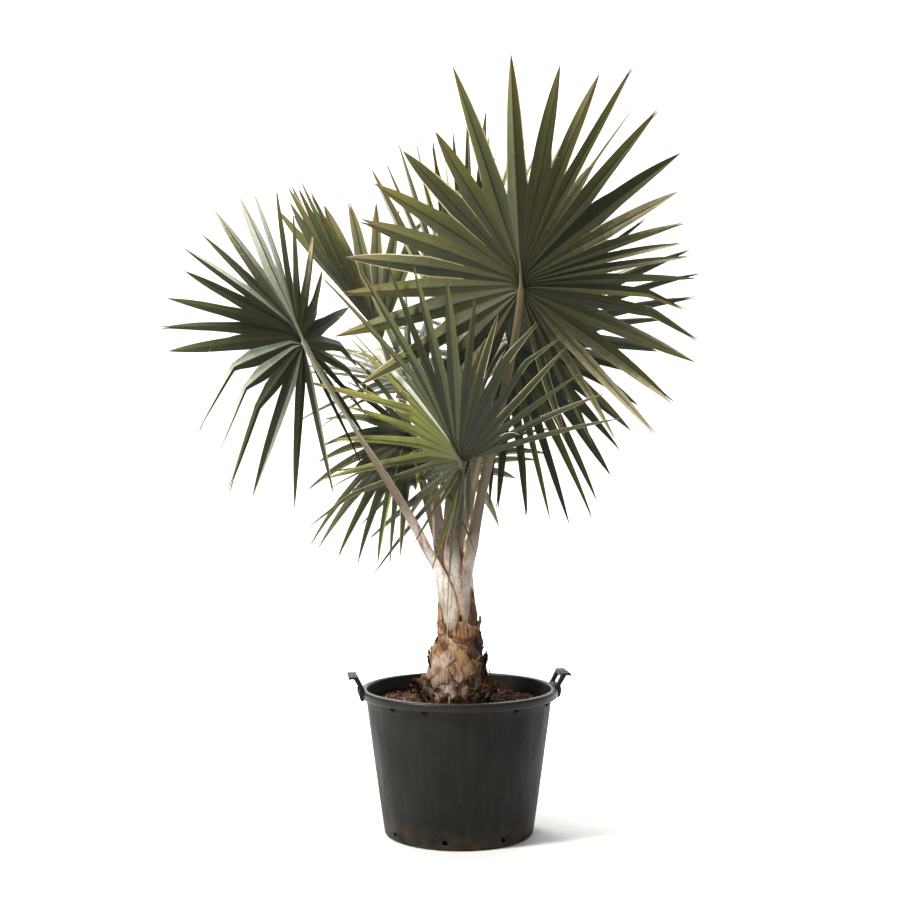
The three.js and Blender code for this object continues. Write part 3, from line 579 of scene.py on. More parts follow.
# %% Handles
HANDLE_TURN, HANDLE_LENGTH, HANDLE_HEIGHT, HANDLE_LIFT = 7, 106, 44, 0.3
HANDLE_SEAT, HANDLE_FLARE, HANDLE_GRIP, TURNDOWN = (288, 300), 22, (26, 7), 4
HANDLE_POST, HANDLE_SILL = 18, 7
HANDLE_FOOT, HANDLE_TOP = TUB_HEIGHT + HANDLE_LIFT, TUB_HEIGHT + HANDLE_HEIGHT
GRIP_UNDER = HANDLE_TOP - HANDLE_GRIP[1]
EDGE_ROUNDING, GRIP_CORNER, GAP_DEPTH = 0.0014, 2, 0.3
LUG_OUTLINE = [(290, 441.2), (292, 413), (297, 410.5), (302.5, 416), (305.5, 426), (306, 436), (304, 447),
               (298, 447)]


def add_prism(shape, outline, half, middle=0.0):
    """An outline of (radius, height) points pulled out to both sides of the handle's middle."""
    rings = []
    for y in (middle - half, middle + half):
        rings.append([shape.verts.new((x * MM, y * MM, z * MM)) for x, z in outline])
    for i in range(len(outline)):
        j = (i + 1) % len(outline)
        shape.faces.new((rings[0][i], rings[0][j], rings[1][j], rings[1][i]))
    shape.faces.new(rings[0][::-1])
    shape.faces.new(rings[1])


def handle_outline():
    """Once round the hoop from the inner foot: the outer side, the turned-down grip, the top."""
    inner, outer = HANDLE_SEAT
    edge, low, cut = inner + HANDLE_FLARE + HANDLE_GRIP[0], GRIP_UNDER - TURNDOWN, GRIP_CORNER
    outside = [(inner, HANDLE_FOOT), (outer, HANDLE_FOOT), (outer + HANDLE_FLARE, GRIP_UNDER)]
    grip = [(edge - TURNDOWN, GRIP_UNDER), (edge - cut, low), (edge, low + cut), (edge, HANDLE_TOP - cut)]
    return outside + grip + [(edge - cut, HANDLE_TOP), (inner + HANDLE_FLARE, HANDLE_TOP)]


def finger_gap():
    """A block as long and high as the gap between the posts, deep enough to cut right through."""
    low, high = HANDLE_FOOT + HANDLE_SILL, GRIP_UNDER - TURNDOWN
    long = HANDLE_LENGTH - 2 * HANDLE_POST
    box = bmesh.new()
    bmesh.ops.create_cube(box, size=1.0)
    for v in box.verts:
        x, y, z = v.co
        v.co = (x * GAP_DEPTH + GAP_DEPTH, y * long * MM, (z * (high - low) + (low + high) / 2) * MM)
    return box


def build_handle(name, heading, node):
    mesh = bpy.data.meshes.new(name)
    hoop = bmesh.new()
    add_prism(hoop, handle_outline(), HANDLE_LENGTH / 2)
    bmesh.ops.recalc_face_normals(hoop, faces=hoop.faces)
    hoop.to_mesh(mesh)
    hoop.free()
    piece = bpy.data.objects.new(name, mesh)
    scene.collection.objects.link(piece)
    made = carve(piece, finger_gap(), EDGE_ROUNDING)
    with_lugs = bmesh.new()
    with_lugs.from_mesh(made)
    for side in (-1, 1):
        add_prism(with_lugs, LUG_OUTLINE, HANDLE_POST / 2 - 1, side * (HANDLE_LENGTH - HANDLE_POST) / 2)
    bmesh.ops.recalc_face_normals(with_lugs, faces=with_lugs.faces)
    with_lugs.to_mesh(made)
    with_lugs.free()
    out, along = heading_vector(heading), heading_vector(heading + 90)
    for v in made.vertices:
        v.co = out * v.co.x + along * v.co.y + UP * v.co.z
    made.shade_smooth()
    made.set_sharp_from_angle(angle=math.radians(40))
    made.materials.append(TUB_PLASTIC)
    piece.data = made
    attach(piece, "root")
    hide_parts(node)
    print(name, len(made.polygons), "faces")


build_handle("tub_handle_right", HANDLE_TURN, "handle_right")
build_handle("tub_handle_left", HANDLE_TURN + 180, "handle_left")

# %% [markdown]
# The soil is bark mulch, level and a hand's width below the lip. A gently uneven disc alone
# would look like felt, so some two thousand chips lie on it, each a small bent plate with
# its own size and turn. They share one mesh, and six plain browns are dealt out among them.

# %% Soil and bark chips
SOIL_TOP = 392
SOIL_RIM = wall_radius(SOIL_TOP) - WALL - 1.2
BED_RINGS, BED_SIDES, BED_SINK, SKIRT_DEPTH = 26, 96, 3.0, 40
CHIP_COUNT, TRUNK_CLEAR, SOIL_SEED = 2300, 92, 12
CHIP_BROWNS = [(58, 38, 30), (84, 52, 38), (104, 66, 46), (124, 88, 64), (44, 32, 28), (146, 116, 90)]
CHIP_CHANCES = [0.24, 0.26, 0.2, 0.12, 0.12, 0.06]


def build_chip_finish(number, brown):
    material, tree, shader = new_finish(f"bark_chip_{number}", 0.85, 0.25)
    shader.inputs["Base Color"].default_value = (*srgb(*brown), 1)
    grain = use_group(material, FIBRES, Fineness=260.0, Run=40.0)["Height"]
    add_bump(tree, shader, grain, 0.5, 0.0008)
    return material


def add_bed(maker, rng):
    """The uneven ground under the chips, with a skirt that closes its rim against the wall."""
    rings = np.concatenate([[0.5], np.linspace(20, SOIL_RIM, BED_RINGS)])
    turns = np.linspace(0, 2 * math.pi, BED_SIDES, endpoint=False)
    bumps = rng.uniform(-2.5, 1.5, (len(rings), BED_SIDES))
    bumps[0] = bumps[0].mean()
    level = SOIL_TOP - BED_SINK
    bed = np.array([[(r * math.cos(t), r * math.sin(t), level) for t in turns] for r in rings])
    bed[..., 2] += bumps
    maker.grid(bed, finish=rng.integers(0, 2, (len(rings) - 1, BED_SIDES)), wrap=True)
    skirt = np.stack([bed[-1], bed[-1] * np.array([0.985, 0.985, 1]) - np.array([0, 0, SKIRT_DEPTH])])
    maker.grid(skirt, wrap=True)


def add_chip(maker, rng):
    """One bark chip: a flat box of three sections, narrower at its ends and arched between."""
    distance, turn = SOIL_RIM * math.sqrt(rng.uniform(0.02, 0.985)), rng.uniform(0, 2 * math.pi)
    if distance < TRUNK_CLEAR:
        return
    long, wide, thick = rng.uniform(5, 15), rng.uniform(3, 8), rng.uniform(0.8, 2.4)
    along = unit(heading_vector(rng.uniform(0, 360), rng.uniform(-28, 28)))
    side = unit(np.cross(UP + rng.normal(0, 0.35, 3), along))
    up = np.cross(along, side)
    reach = min(distance, SOIL_RIM - long * 0.6)
    centre = np.array([reach * math.cos(turn), reach * math.sin(turn), SOIL_TOP - 2 + rng.uniform(0, 3.5)])
    box = []
    for s, shrink in ((-0.5, rng.uniform(0.4, 0.9)), (0.0, 1.0), (0.5, rng.uniform(0.3, 0.8))):
        arch = up * (thick * (1.2 if s == 0 else 0.0))
        box.append([centre + along * long * s + side * wide * shrink * a / 2 + up * thick * b / 2 + arch
                    for a, b in BOX_CORNERS])
    box = np.array(box)
    shade = int(rng.choice(len(CHIP_CHANCES), p=CHIP_CHANCES))
    maker.grid(box, finish=shade, wrap=True)
    maker.fan(box[0], finish=shade, flip=True)
    maker.fan(box[-1], finish=shade)


soil_maker, rng = Maker(), np.random.default_rng(SOIL_SEED)
add_bed(soil_maker, rng)
for _ in range(CHIP_COUNT):
    add_chip(soil_maker, rng)
chip_finishes = [build_chip_finish(i + 1, brown) for i, brown in enumerate(CHIP_BROWNS)]
make_piece("bark_mulch", soil_maker, chip_finishes, ["soil"], smooth=False)

# %% [markdown]
# The trunk is short and hidden by what grew on it. It tapers and leans a little, with a
# flare at the soil, and old leaf scars ring it. It is a tube whose radius follows the same
# stations as the solid, roughened by a few waves and by seeded noise.

# %% Trunk
TRUNK_HEART, HEART_DOME, SCALE_GAP = 812, 30, 0.6
TRUNK_STATIONS = [(0, 100), (14, 94), (58, 82), (136, 62), (213, 49), (290, 44), (370, 40), (408, 32),
                  (420, 18)]
TRUNK_LOW, TRUNK_MID, TRUNK_HIGH = -12, -3, -18
TRUNK_ROWS, TRUNK_TURN, TRUNK_TOP, TRUNK_SEED = 90, 3.0, 412, 5


def trunk_middle(z):
    t = (z - SOIL_TOP) / (TRUNK_HEART - SOIL_TOP)
    x = mix(TRUNK_LOW, TRUNK_HIGH, t) + (TRUNK_MID - (TRUNK_LOW + TRUNK_HIGH) / 2) * 4 * t * (1 - t)
    return np.array([x, 0.0, z])


def trunk_radius(z):
    return float(np.interp(z - SOIL_TOP, *zip(*TRUNK_STATIONS)))


def build_bark(name, dark, pale, dry):
    """Old palm tissue: fibres along the length, darker where it is damp and torn."""
    material, tree, shader = new_finish(name, 0.82, 0.2)
    fibres = use_group(material, FIBRES, Fineness=150.0, Run=9.0)
    streak = mix_colours(tree, fibres["Mask"], srgb(*dark), srgb(*pale))
    where = place_node(tree)
    patch = noise_node(tree, where, 26.0, 5.0, 0.6, 0.48, 0.7)
    damp = noise_node(tree, stretched(tree, where, 1.0, 1.0, 0.5), 34.0, 6.0, 0.7, 0.5, 0.66)
    aged = mix_colours(tree, damp, mix_colours(tree, patch, streak, srgb(*dry)), srgb(*dark), 0.6)
    spots = use_group(material, SPECKS, Scale=260.0, Cut=0.66)["Mask"]
    speckled = mix_colours(tree, spots, aged, srgb(58, 40, 30), 0.55)
    tree.links.new(speckled, shader.inputs["Base Color"])
    add_bump(tree, shader, fibres["Height"], 0.9, 0.004)
    return material


def build_trunk():
    heights = np.linspace(0.3, TRUNK_TOP, TRUNK_ROWS)
    turns = np.arange(0, 360, TRUNK_TURN)
    rough = np.random.default_rng(TRUNK_SEED).normal(0, 0.6, (len(heights), len(turns)))
    rows = []
    for i, above in enumerate(heights):
        scar = 1.6 * max(0.0, math.sin(above / 7.0)) ** 3
        row = []
        for j, turn in enumerate(turns):
            wave = 1.4 * math.sin(math.radians(3 * turn) + above / 38) + rough[i, j] + scar
            radius = trunk_radius(SOIL_TOP + above) - 2.0 + wave * 0.6
            row.append(trunk_middle(SOIL_TOP + above) + heading_vector(turn) * radius)
        rows.append(row)
    maker = Maker()
    maker.grid(np.array(rows), wrap=True)
    maker.fan(np.array(rows[-1]))
    bark = build_bark("ringed_trunk_bark", (66, 48, 38), (128, 98, 74), (150, 126, 106))
    make_piece("palm_trunk", maker, [bark], ["trunk"])


build_trunk()

# %% [markdown]
# Below the living stalks the trunk wears the bases of fallen leaves. Each was a sheath that
# clasped the trunk. It dried, cracked along its fibres and curled at its edges, and its top
# is torn, highest where the stalk once left it. Each is a wide arc of the trunk's curve that
# leans out as it rises, tucked under its neighbour on one side and over it on the other.

# %% Old leaf bases
BOOT_BARKS = [
    build_bark("leaf_base_tan", (80, 54, 34), (160, 122, 86), (190, 160, 126)),
    build_bark("leaf_base_brown", (48, 32, 23), (114, 82, 58), (140, 112, 88)),
    build_bark("leaf_base_rosy_grey", (84, 60, 46), (162, 138, 118), (194, 176, 160)),
    # This near-black finish is painted shade: inner sheets, dark gaps and the foot of the trunk wear it.
    build_bark("leaf_base_painted_shade", (26, 20, 17), (58, 43, 34), (84, 64, 50)),
    build_bark("leaf_base_pale_rim", (124, 90, 58), (178, 144, 104), (196, 172, 140)),
    build_bark("dry_cream_strip", (176, 150, 110), (226, 206, 164), (236, 222, 190)),
]
TAN, BROWN, ROSY, PAINTED_SHADE, RIM, CREAM = range(6)
BOOT_RINGS = [
    # The lowest ring may take the painted shade finish, as the shade at the trunk's foot.
    dict(above=3, count=7, turn=10, height=84, half=34.5, lean=9.0, skins=(BROWN, ROSY, PAINTED_SHADE, BROWN)),
    dict(above=52, count=6, turn=38, height=92, half=51.3, lean=6.5, skins=(ROSY, ROSY, ROSY, BROWN)),
    dict(above=104, count=5, turn=8, height=96, half=67.2, lean=5.0, skins=(BROWN, ROSY, TAN, BROWN)),
    dict(above=156, count=5, turn=50, height=92, half=60.8, lean=4.0, skins=(TAN, TAN, BROWN, BROWN)),
]
BOOT_ROWS, BOOT_COLUMNS, BOOT_TEETH, BOOT_FOOT = 24, 49, 14, 6
FRAYS, BOOT_FIBRES, FEW_FIBRES, FLAKE_THICK = (0, 0.35, 0.7, 1.0), 16, 5, 1.8
BOOT_SEED, PLACING_SEED, SEEDS_PER_RING = 40, 900, 20
print("leaf base finishes:", len(BOOT_BARKS), "rings:", len(BOOT_RINGS))

# %% [markdown]
# A leaf base is a thin shell: an outer and an inner sheet, closed along their four edges. It
# stands further off the trunk as it rises, and sine waves of several lengths give it broad
# ribs and a finer grain. Loose fibres stand off the torn edge, each a narrow strip that ends
# in a point.

# %% Build the old leaf bases
def scale_radius(z, foot, lean):
    """How far from the trunk's middle a sheath stands that leans out from its foot."""
    bare = trunk_radius(min(z, TRUNK_HEART - HEART_DOME))
    return bare + SCALE_GAP + (z - foot) * math.tan(math.radians(lean))


def add_sheet(maker, inner, outer, finish_out, finish_in, finish_rim):
    """A thin shell: outer and inner sheets, closed by strips along its four edges."""
    finish = np.full((outer.shape[0] - 1, outer.shape[1] - 1), finish_out)
    finish[-1] = finish_rim
    maker.grid(outer, finish=finish)
    maker.grid(inner, finish=finish_in, flip=True)
    for edge_in, edge_out, flip in ((inner[:, 0], outer[:, 0], False), (inner[:, -1], outer[:, -1], True),
                                    (inner[-1], outer[-1], False), (inner[0], outer[0], True)):
        maker.grid(np.stack([edge_in, edge_out], 1), finish=finish_rim, flip=flip)


def shell_of(heading, foot, height, half, lean, top, tuck, curl, sweep, ribs, off, rows=BOOT_ROWS):
    """Inner and outer sheets of a scale; top holds the share of the height at each column."""
    cols = len(top)
    inner, outer = np.zeros((rows, cols, 3)), np.zeros((rows, cols, 3))
    for r in range(rows):
        t = r / (rows - 1)
        for c, a in enumerate(np.linspace(-1, 1, cols)):
            z = foot - BOOT_FOOT + (height + BOOT_FOOT) * t * top[c]
            lift = (z - foot) / height
            radius = trunk_radius(z) + SCALE_GAP + max(0.0, z - foot) * math.tan(math.radians(lean))
            broad = 1.1 * math.sin(9 * a + ribs) * (0.4 + 0.6 * t)
            radius += off + 2.4 * a * tuck + curl * t ** 4 * (0.35 + abs(a) ** 2) + broad
            fine = 0.55 * math.sin(31 * a + 2 * ribs)
            radius += 1.6 * math.sin(2.3 * a + 3 * t + ribs) + fine + 0.35 * math.sin(57 * a + 5 * t + ribs)
            thick = 3.8 * (1 - 0.55 * t) * (1 - 0.8 * abs(a) ** 4) + 0.5
            around = heading_vector(heading + a * half * (1 - 0.12 * lift) + sweep * lift * lift)
            inner[r, c] = trunk_middle(z) + around * radius
            outer[r, c] = trunk_middle(z) + around * (radius + thick)
    return inner, outer


def add_frayed_rim(maker, top, heading, count, rng):
    """Loose fibres that stand off a torn edge and droop, each a strand with a pointed tip."""
    for _ in range(count):
        c = int(rng.integers(1, len(top) - 1))
        reach = rng.uniform(6, 22)
        rise, aside, lean = rng.uniform(0.4, 1.2), rng.uniform(-70, 70), rng.uniform(0.1, 0.9)
        lift = unit(UP * rise + heading_vector(heading + aside) * lean)
        strand = [top[c] + lift * reach * s + DOWN * 6 * s * s for s in (-0.3, *FRAYS[1:])]
        side = unit(np.cross(lift, UP) + 1e-6) * rng.uniform(0.3, 0.9)
        pairs = [[p - side * (1.05 - s), p + side * (1.05 - s)] for p, s in zip(strand, FRAYS)]
        maker.grid(np.array(pairs), finish=RIM)


def build_boot(number, heading, foot, height, ring):
    rng = np.random.default_rng(BOOT_SEED + number)
    across = np.linspace(-1, 1, BOOT_COLUMNS)
    ragged = np.interp(across, np.linspace(-1, 1, BOOT_TEETH), rng.uniform(-0.12, 0.05, BOOT_TEETH))
    ragged += rng.normal(0, 0.016, BOOT_COLUMNS)
    stump = rng.choice([-1, 1]) * rng.uniform(0.1, 0.85)
    top = np.clip(1.12 - 0.5 * np.abs(across - stump) ** 1.15 + ragged, 0.22, 1.12)
    curl, sweep, ribs = rng.uniform(5, 15), rng.uniform(-14, 14), rng.uniform(0, 6)
    off = 2.4 + 2.1 * (number % 3)
    tuck, half, lean = np.sign(stump), ring["half"], ring["lean"]
    inner, outer = shell_of(heading, foot, height, half, lean, top, tuck, curl, sweep, ribs, off)
    outer += rng.normal(0, 0.22, outer.shape)
    maker = Maker()
    skin = int(rng.choice(ring["skins"]))
    # The inner sheet, towards the trunk, is painted shade.
    add_sheet(maker, inner, outer, skin, PAINTED_SHADE, RIM if rng.uniform() < 0.5 else BROWN)
    add_frayed_rim(maker, outer[-1], heading, BOOT_FIBRES, rng)
    replaced = f"old_leaf_base_{number:02d}"
    make_piece(f"torn_leaf_base_{number:02d}", maker, BOOT_BARKS, [replaced])


number = 0
for level, ring in enumerate(BOOT_RINGS):
    for i in range(ring["count"]):
        draw = Draws(PLACING_SEED + level * SEEDS_PER_RING + i)
        heading = ring["turn"] + 360 * i / ring["count"] + draw.either() * 2
        height = ring["height"] * (1 + 0.12 * draw.either())
        number += 1
        build_boot(number, heading, SOIL_TOP + ring["above"], height, ring)

# %% [markdown]
# At the soil line the oldest bases have broken into dry scales that curl up like shavings.
# They are short arcs rolled about their own length, pale along the edge and painted dark
# inside as shade, a few painted dark all over as the shade between them. They are dealt
# out round the trunk's foot with seeded turns, and joined in one piece.

# %% Curled scales at the soil line
CURL_COUNT, CURL_ROWS, CURL_COLUMNS, CURL_SEED = 64, 8, 7, 77
SPUR_HEIGHT, SPUR_HEADING, SPUR_REACH = 530, -12, 66


def add_curl(maker, place, outward, along, size, bend, rng):
    """One dry scale: it rises along one direction, arches across and rolls over at its tip."""
    across = unit(np.cross(along, outward))
    inner, outer = np.zeros((CURL_ROWS, CURL_COLUMNS, 3)), np.zeros((CURL_ROWS, CURL_COLUMNS, 3))
    long, wide = size
    for r in range(CURL_ROWS):
        t = r / (CURL_ROWS - 1)
        turn = bend * t * t
        spine = place + along * long * t * math.cos(turn * 0.6) + outward * long * t * math.sin(turn * 0.6)
        face = unit(outward * math.cos(turn) - along * math.sin(turn))
        half = wide / 2 * (1 - 0.35 * t * t) * (1 + rng.normal(0, 0.04))
        for c, a in enumerate(np.linspace(-1, 1, CURL_COLUMNS)):
            arch = face * (-0.45 * half * a * a)
            at = spine + across * half * a + arch + along * rng.normal(0, 0.03 * long) * (t > 0.9)
            inner[r, c], outer[r, c] = at, at + face * (FLAKE_THICK * (1 - 0.6 * t))
    # A few scales are painted dark all over as shade, and every inner sheet is painted shade.
    skin = int(rng.choice([BROWN, BROWN, ROSY, PAINTED_SHADE]))
    add_sheet(maker, inner, outer, skin, PAINTED_SHADE, RIM if rng.uniform() < 0.6 else PAINTED_SHADE)


def build_curls():
    maker, rng, lower = Maker(), np.random.default_rng(CURL_SEED), CURL_COUNT // 2
    for i in range(CURL_COUNT):
        outward = heading_vector(360 * i / lower + rng.uniform(-6, 6))
        above = rng.uniform(-4, 12) if i < lower else rng.uniform(14, 46)
        off = trunk_radius(SOIL_TOP + above) + 3 + 0.2 * above + rng.uniform(0, 5)
        place = trunk_middle(SOIL_TOP + above) + outward * off
        rise, slant, lean = rng.uniform(0.5, 1.0), rng.uniform(-1.2, 1.2), rng.uniform(-0.1, 0.25)
        along = unit(UP * rise + np.cross(UP, outward) * slant + outward * lean)
        size = (rng.uniform(30, 54), rng.uniform(26, 46))
        add_curl(maker, place, outward, along, size, rng.uniform(0.3, 1.3), rng)
    outward = heading_vector(SPUR_HEADING)
    spur = trunk_middle(SPUR_HEIGHT) + outward * SPUR_REACH
    add_curl(maker, spur, outward, unit(UP + outward * 0.35), (52, 12), 0.25, rng)
    make_piece("curled_dry_scales", maker, BOOT_BARKS)


build_curls()

# %% [markdown]
# Where a dead sheath has torn along its fibres, a strip of it folds over and wraps slantwise
# round the trunk, over the other leaf bases. Each strip is drawn on the unrolled trunk as a
# bow between three marks, given by heading and height, and then rolled back round it.

# %% Folded strips of old sheath
BAND_ROWS, BAND_COLUMNS, BAND_SEED, UNROLLED = 36, 17, 31, 70
BANDS = [
    ((-168, -132, -90), (474, 524, 562), 40, 16, ROSY),
    ((-112, -80, -62), (572, 556, 492), 30, 18, TAN),
    ((-132, -85, -36), (566, 616, 534), 32, 15, BROWN),
    # This dark strip is painted shade, a sheet laid in a shaded gap at the trunk's right.
    ((-44, -26, -12), (596, 540, 466), 26, 14, PAINTED_SHADE),
    ((16, 60, 104), (476, 560, 570), 38, 16, TAN),
    ((110, 150, 186), (572, 604, 516), 34, 15, BROWN),
    ((58, 92, 132), (562, 500, 470), 28, 17, ROSY),
    ((150, 190, 222), (462, 520, 558), 32, 16, TAN),
]


def add_band(maker, turns, heights, wide, off, skin, rng):
    """One strip, from its three headings and heights, its width and how far it stands off."""
    inner, outer = np.zeros((BAND_ROWS, BAND_COLUMNS, 3)), np.zeros((BAND_ROWS, BAND_COLUMNS, 3))
    ribs, frayed = rng.uniform(0, 6), rng.normal(0, 0.03, BAND_COLUMNS)
    for r in range(BAND_ROWS):
        t = r / (BAND_ROWS - 1)
        turn, z = ((1 - t) ** 2 * p[0] + 2 * t * (1 - t) * p[1] + t * t * p[2] for p in (turns, heights))
        run_turn, run_z = (2 * (1 - t) * (p[1] - p[0]) + 2 * t * (p[2] - p[1]) for p in (turns, heights))
        around = math.radians(run_turn) * UNROLLED
        length = math.hypot(around, run_z)
        for c, a in enumerate(np.linspace(-1, 1, BAND_COLUMNS)):
            half = wide / 2 * (0.7 + 0.3 * math.sin(math.pi * min(t + frayed[c], 1))) * a
            outward = heading_vector(turn - math.degrees(half * run_z / length / UNROLLED))
            height = z + half * around / length
            radius = trunk_radius(height) + off + 3 * (1 - a * a) + 2.5 * max(0.0, a) ** 3
            at = trunk_middle(height) + outward * (radius + 0.5 * math.sin(13 * a + ribs))
            inner[r, c], outer[r, c] = at, at + outward * FLAKE_THICK
    # The inner sheet of each strip is painted shade.
    add_sheet(maker, inner, outer, skin, PAINTED_SHADE, RIM)
    add_frayed_rim(maker, outer[-1], turns[2], FEW_FIBRES, rng)


band_maker, rng = Maker(), np.random.default_rng(BAND_SEED)
for band in BANDS:
    add_band(band_maker, *band, rng)
make_piece("folded_sheath_strips", band_maker, BOOT_BARKS)

# %% [markdown]
# Above the torn rings, parts of the last dead sheaths still cling to the pale column: a brown
# flap on the right and narrow cream strips beside the front stalk. They are cut like the leaf
# bases, only narrower and pressed close to what is under them.

# %% Clinging strips of dead sheath
CLINGING = [
    dict(heading=-36, foot=618, height=122, half=34, lean=2.0, off=8.5, stump=0.2, skin=BROWN),
    dict(heading=-150, foot=612, height=84, half=30, lean=2.5, off=8.0, stump=-0.4, skin=TAN),
    dict(heading=60, foot=615, height=96, half=32, lean=2.5, off=8.0, stump=0.3, skin=TAN),
    dict(heading=150, foot=612, height=90, half=30, lean=2.5, off=8.0, stump=0.1, skin=BROWN),
]
CREAM_STRIPS = [
    (((25, -66, 834), (23, -84, 866), (25, -92, 905), (33, -90, 960)), 11),
    (((19, -66, 842), (16, -82, 862), (19, -88, 890), (27, -88, 926)), 9),
]
CLING_ROWS, CLING_COLUMNS, CLING_SEED, STRIP_ROWS = 16, 21, 19, 14


def add_flap(maker, flap, rng):
    across = np.linspace(-1, 1, CLING_COLUMNS)
    top = 1.05 - 0.85 * np.abs(across - flap["stump"]) ** 1.2 + rng.normal(0, 0.02, CLING_COLUMNS)
    sweep, ribs = rng.uniform(-4, 4), rng.uniform(0, 6)
    shape = [flap[key] for key in ("heading", "foot", "height", "half", "lean")]
    inner, outer = shell_of(*shape, np.clip(top, 0.1, 1.1), 0.3, 3, sweep, ribs, flap["off"], CLING_ROWS)
    # The inner sheet of each flap is painted shade.
    add_sheet(maker, inner, outer, flap["skin"], PAINTED_SHADE, RIM)
    add_frayed_rim(maker, outer[-1], flap["heading"], FEW_FIBRES, rng)


def add_cream_strip(maker, path, wide):
    """A narrow strip along a path, thin at its edges and pointed at both ends."""
    steps = np.linspace(0, 1, STRIP_ROWS)
    spots = np.stack([np.interp(steps, (0, 0.3, 0.6, 1), [p[k] for p in path]) for k in range(3)], 1)
    wides = wide / 2 * np.sin(np.linspace(0.25, 3.0, STRIP_ROWS))[:, None, None]
    reach = wides * np.array([-1, -0.4, 0.4, 1])[None, :, None]
    bow = np.array([0, -1.2, 0]) * (1 - np.array([1, 0.16, 0.16, 1]))[None, :, None]
    flake = spots[:, None] + reach * unit(np.array([1, -0.5, 0.1])) + bow
    add_sheet(maker, flake + np.array([0, 0.9, 0]), flake, CREAM, TAN, CREAM)


cling_maker, rng = Maker(), np.random.default_rng(CLING_SEED)
for flap in CLINGING:
    add_flap(cling_maker, flap, rng)
for path, wide in CREAM_STRIPS:
    add_cream_strip(cling_maker, path, wide)
make_piece("clinging_sheath_strips", cling_maker, BOOT_BARKS)

# %% [markdown]
# A fan leaf of this palm is one pleated sheet near its stalk and splits into stiff leaflets
# further out. Each frond is described by a few numbers: where its hub is, where its rib
# points, how the blade is rolled and folded, how far it spreads and how long it is. They are
# the numbers of the solids, so each fine frond grows exactly where its plain solid stands.

# %% The eleven fronds
FRONDS = [
    dict(name="front_right", hub=(172, -330, 1613), rib=(-99, 76), roll=11, fold=18, droop=0.05,
         spread=163, radius=659, leaflets=31, fused=0.46, foot=(-42, 206), hug=34,
         turns=(-165, -154, -146, -139, -126, -112, -103, -95, -89, -84, -78, -73, -66, -55, -42, -37,
                -31, -24, -14, 0, 17, 30, 41, 54, 67, 79, 90, 102, 118, 134, 152),
         reach=(0.71, 0.92, 0.99, 0.85, 0.76, 0.92, 0.98, 0.82, 0.92, 0.68, 0.77, 0.77, 0.84, 0.86,
                0.75, 0.68)),
    dict(name="left", hub=(-464, -80, 1476), rib=(-143, 67), roll=102, fold=24, droop=0.05,
         spread=166, radius=490, leaflets=25, fused=0.4, foot=(214, 206), hug=64,
         turns=(-166, -150, -135, -121, -107, -91, -74, -58, -40, -26, -8, 4, 17, 25, 32, 42, 51, 62, 71,
                90, 104, 121, 139, 157, 170),
         reach=(0.98, 0.92, 0.98, 0.9, 0.88, 0.82, 0.85, 1, 1)),
    dict(name="front", hub=(10, -235, 1128), rib=(171, 60), roll=50, fold=15, droop=0.1,
         spread=98, radius=632, leaflets=25, fused=0.36, foot=(-88, 276), hug=40,
         reach=(0.84, 0.78, 0.74, 0.84, 0.95, 0.86, 0.88, 0.97, 0.9)),
    dict(name="right", hub=(152, 100, 1483), rib=(42, 1), roll=105, fold=26, droop=0.13,
         spread=124, radius=655, leaflets=25, fused=0.42, foot=(20, 206), hug=24,
         reach=(0.89, 0.9, 0.87, 1, 0.8, 0.86, 0.93, 0.83, 0.79)),
    dict(name="back", hub=(5, 210, 1458), rib=(100, 72), roll=0, fold=20, droop=0.06,
         spread=86, radius=790, leaflets=17, fused=0.38, foot=(80, 346), hug=30,
         turns=(-25, -20, -15, -10, -5, 0, 6, 11, 17, 23, 29, 35, 41, 47, 53, 59, 65),
         reach=(0.76, 0.8, 0.82, 0.84, 0.92, 1, 0.9, 0.8, 0.78)),
    dict(name="upper_left", hub=(-238, 165, 1505), rib=(135, 43), roll=3, fold=45, droop=0.05,
         spread=72, radius=600, leaflets=15, fused=0.56, pleat=0.9, foot=(146, 346), hug=30,
         turns=(-72, -65, -56, -48, -39, -31, -22, -13, -5, 4, 13, 21, 29, 36, 43),
         reach=(0.9, 0.88, 0.88, 0.92, 1, 0.98, 0.92, 0.9, 0.9)),
    dict(name="lower_left", hub=(-146, 0, 1208), rib=(149, -40), roll=-80, fold=-5, droop=0.23,
         spread=91, radius=482, leaflets=19, fused=0.36, foot=(186, 276), hug=30,
         reach=(0.9, 0.79, 0.79, 0.84, 0.96, 1, 0.8, 0.95, 0.84)),
    dict(name="spear", hub=(48, 30, 1500), rib=(60, 84), roll=0, fold=55, droop=0,
         spread=24, radius=660, leaflets=9, fused=0.5, foot=(0, 420), hug=0,
         reach=(0.86, 0.9, 0.94, 0.98, 1, 0.98, 0.94, 0.9, 0.86)),
    dict(name="back_right", hub=(126, 360, 1410), rib=(85, 41), roll=-8, fold=19, droop=0.28,
         spread=138, radius=490, leaflets=21, fused=0.3, foot=(52, 276), hug=30,
         reach=(0.92, 0.94, 0.96, 0.98, 1, 0.98, 0.96, 0.94, 0.92)),
    dict(name="back_left", hub=(-151, 360, 1358), rib=(128, 28), roll=-28, fold=28, droop=0.21,
         spread=132, radius=440, leaflets=21, fused=0.3, foot=(122, 276), hug=28,
         reach=(0.8, 0.82, 0.9, 0.98, 1, 1, 1, 1, 1)),
    dict(name="back_low", hub=(-20, 380, 1089), rib=(70, -10), roll=-24, fold=28, droop=0.28,
         spread=138, radius=440, leaflets=19, fused=0.4, foot=(84, 206), hug=38,
         reach=(0.92, 0.94, 0.96, 0.98, 1, 0.98, 0.96, 0.94, 0.92)),
]
LEAF_THICKNESS, COSTA_LENGTH, HUB_RADIUS, PLEAT_DEPTH = 8, 60, 34, 0.36
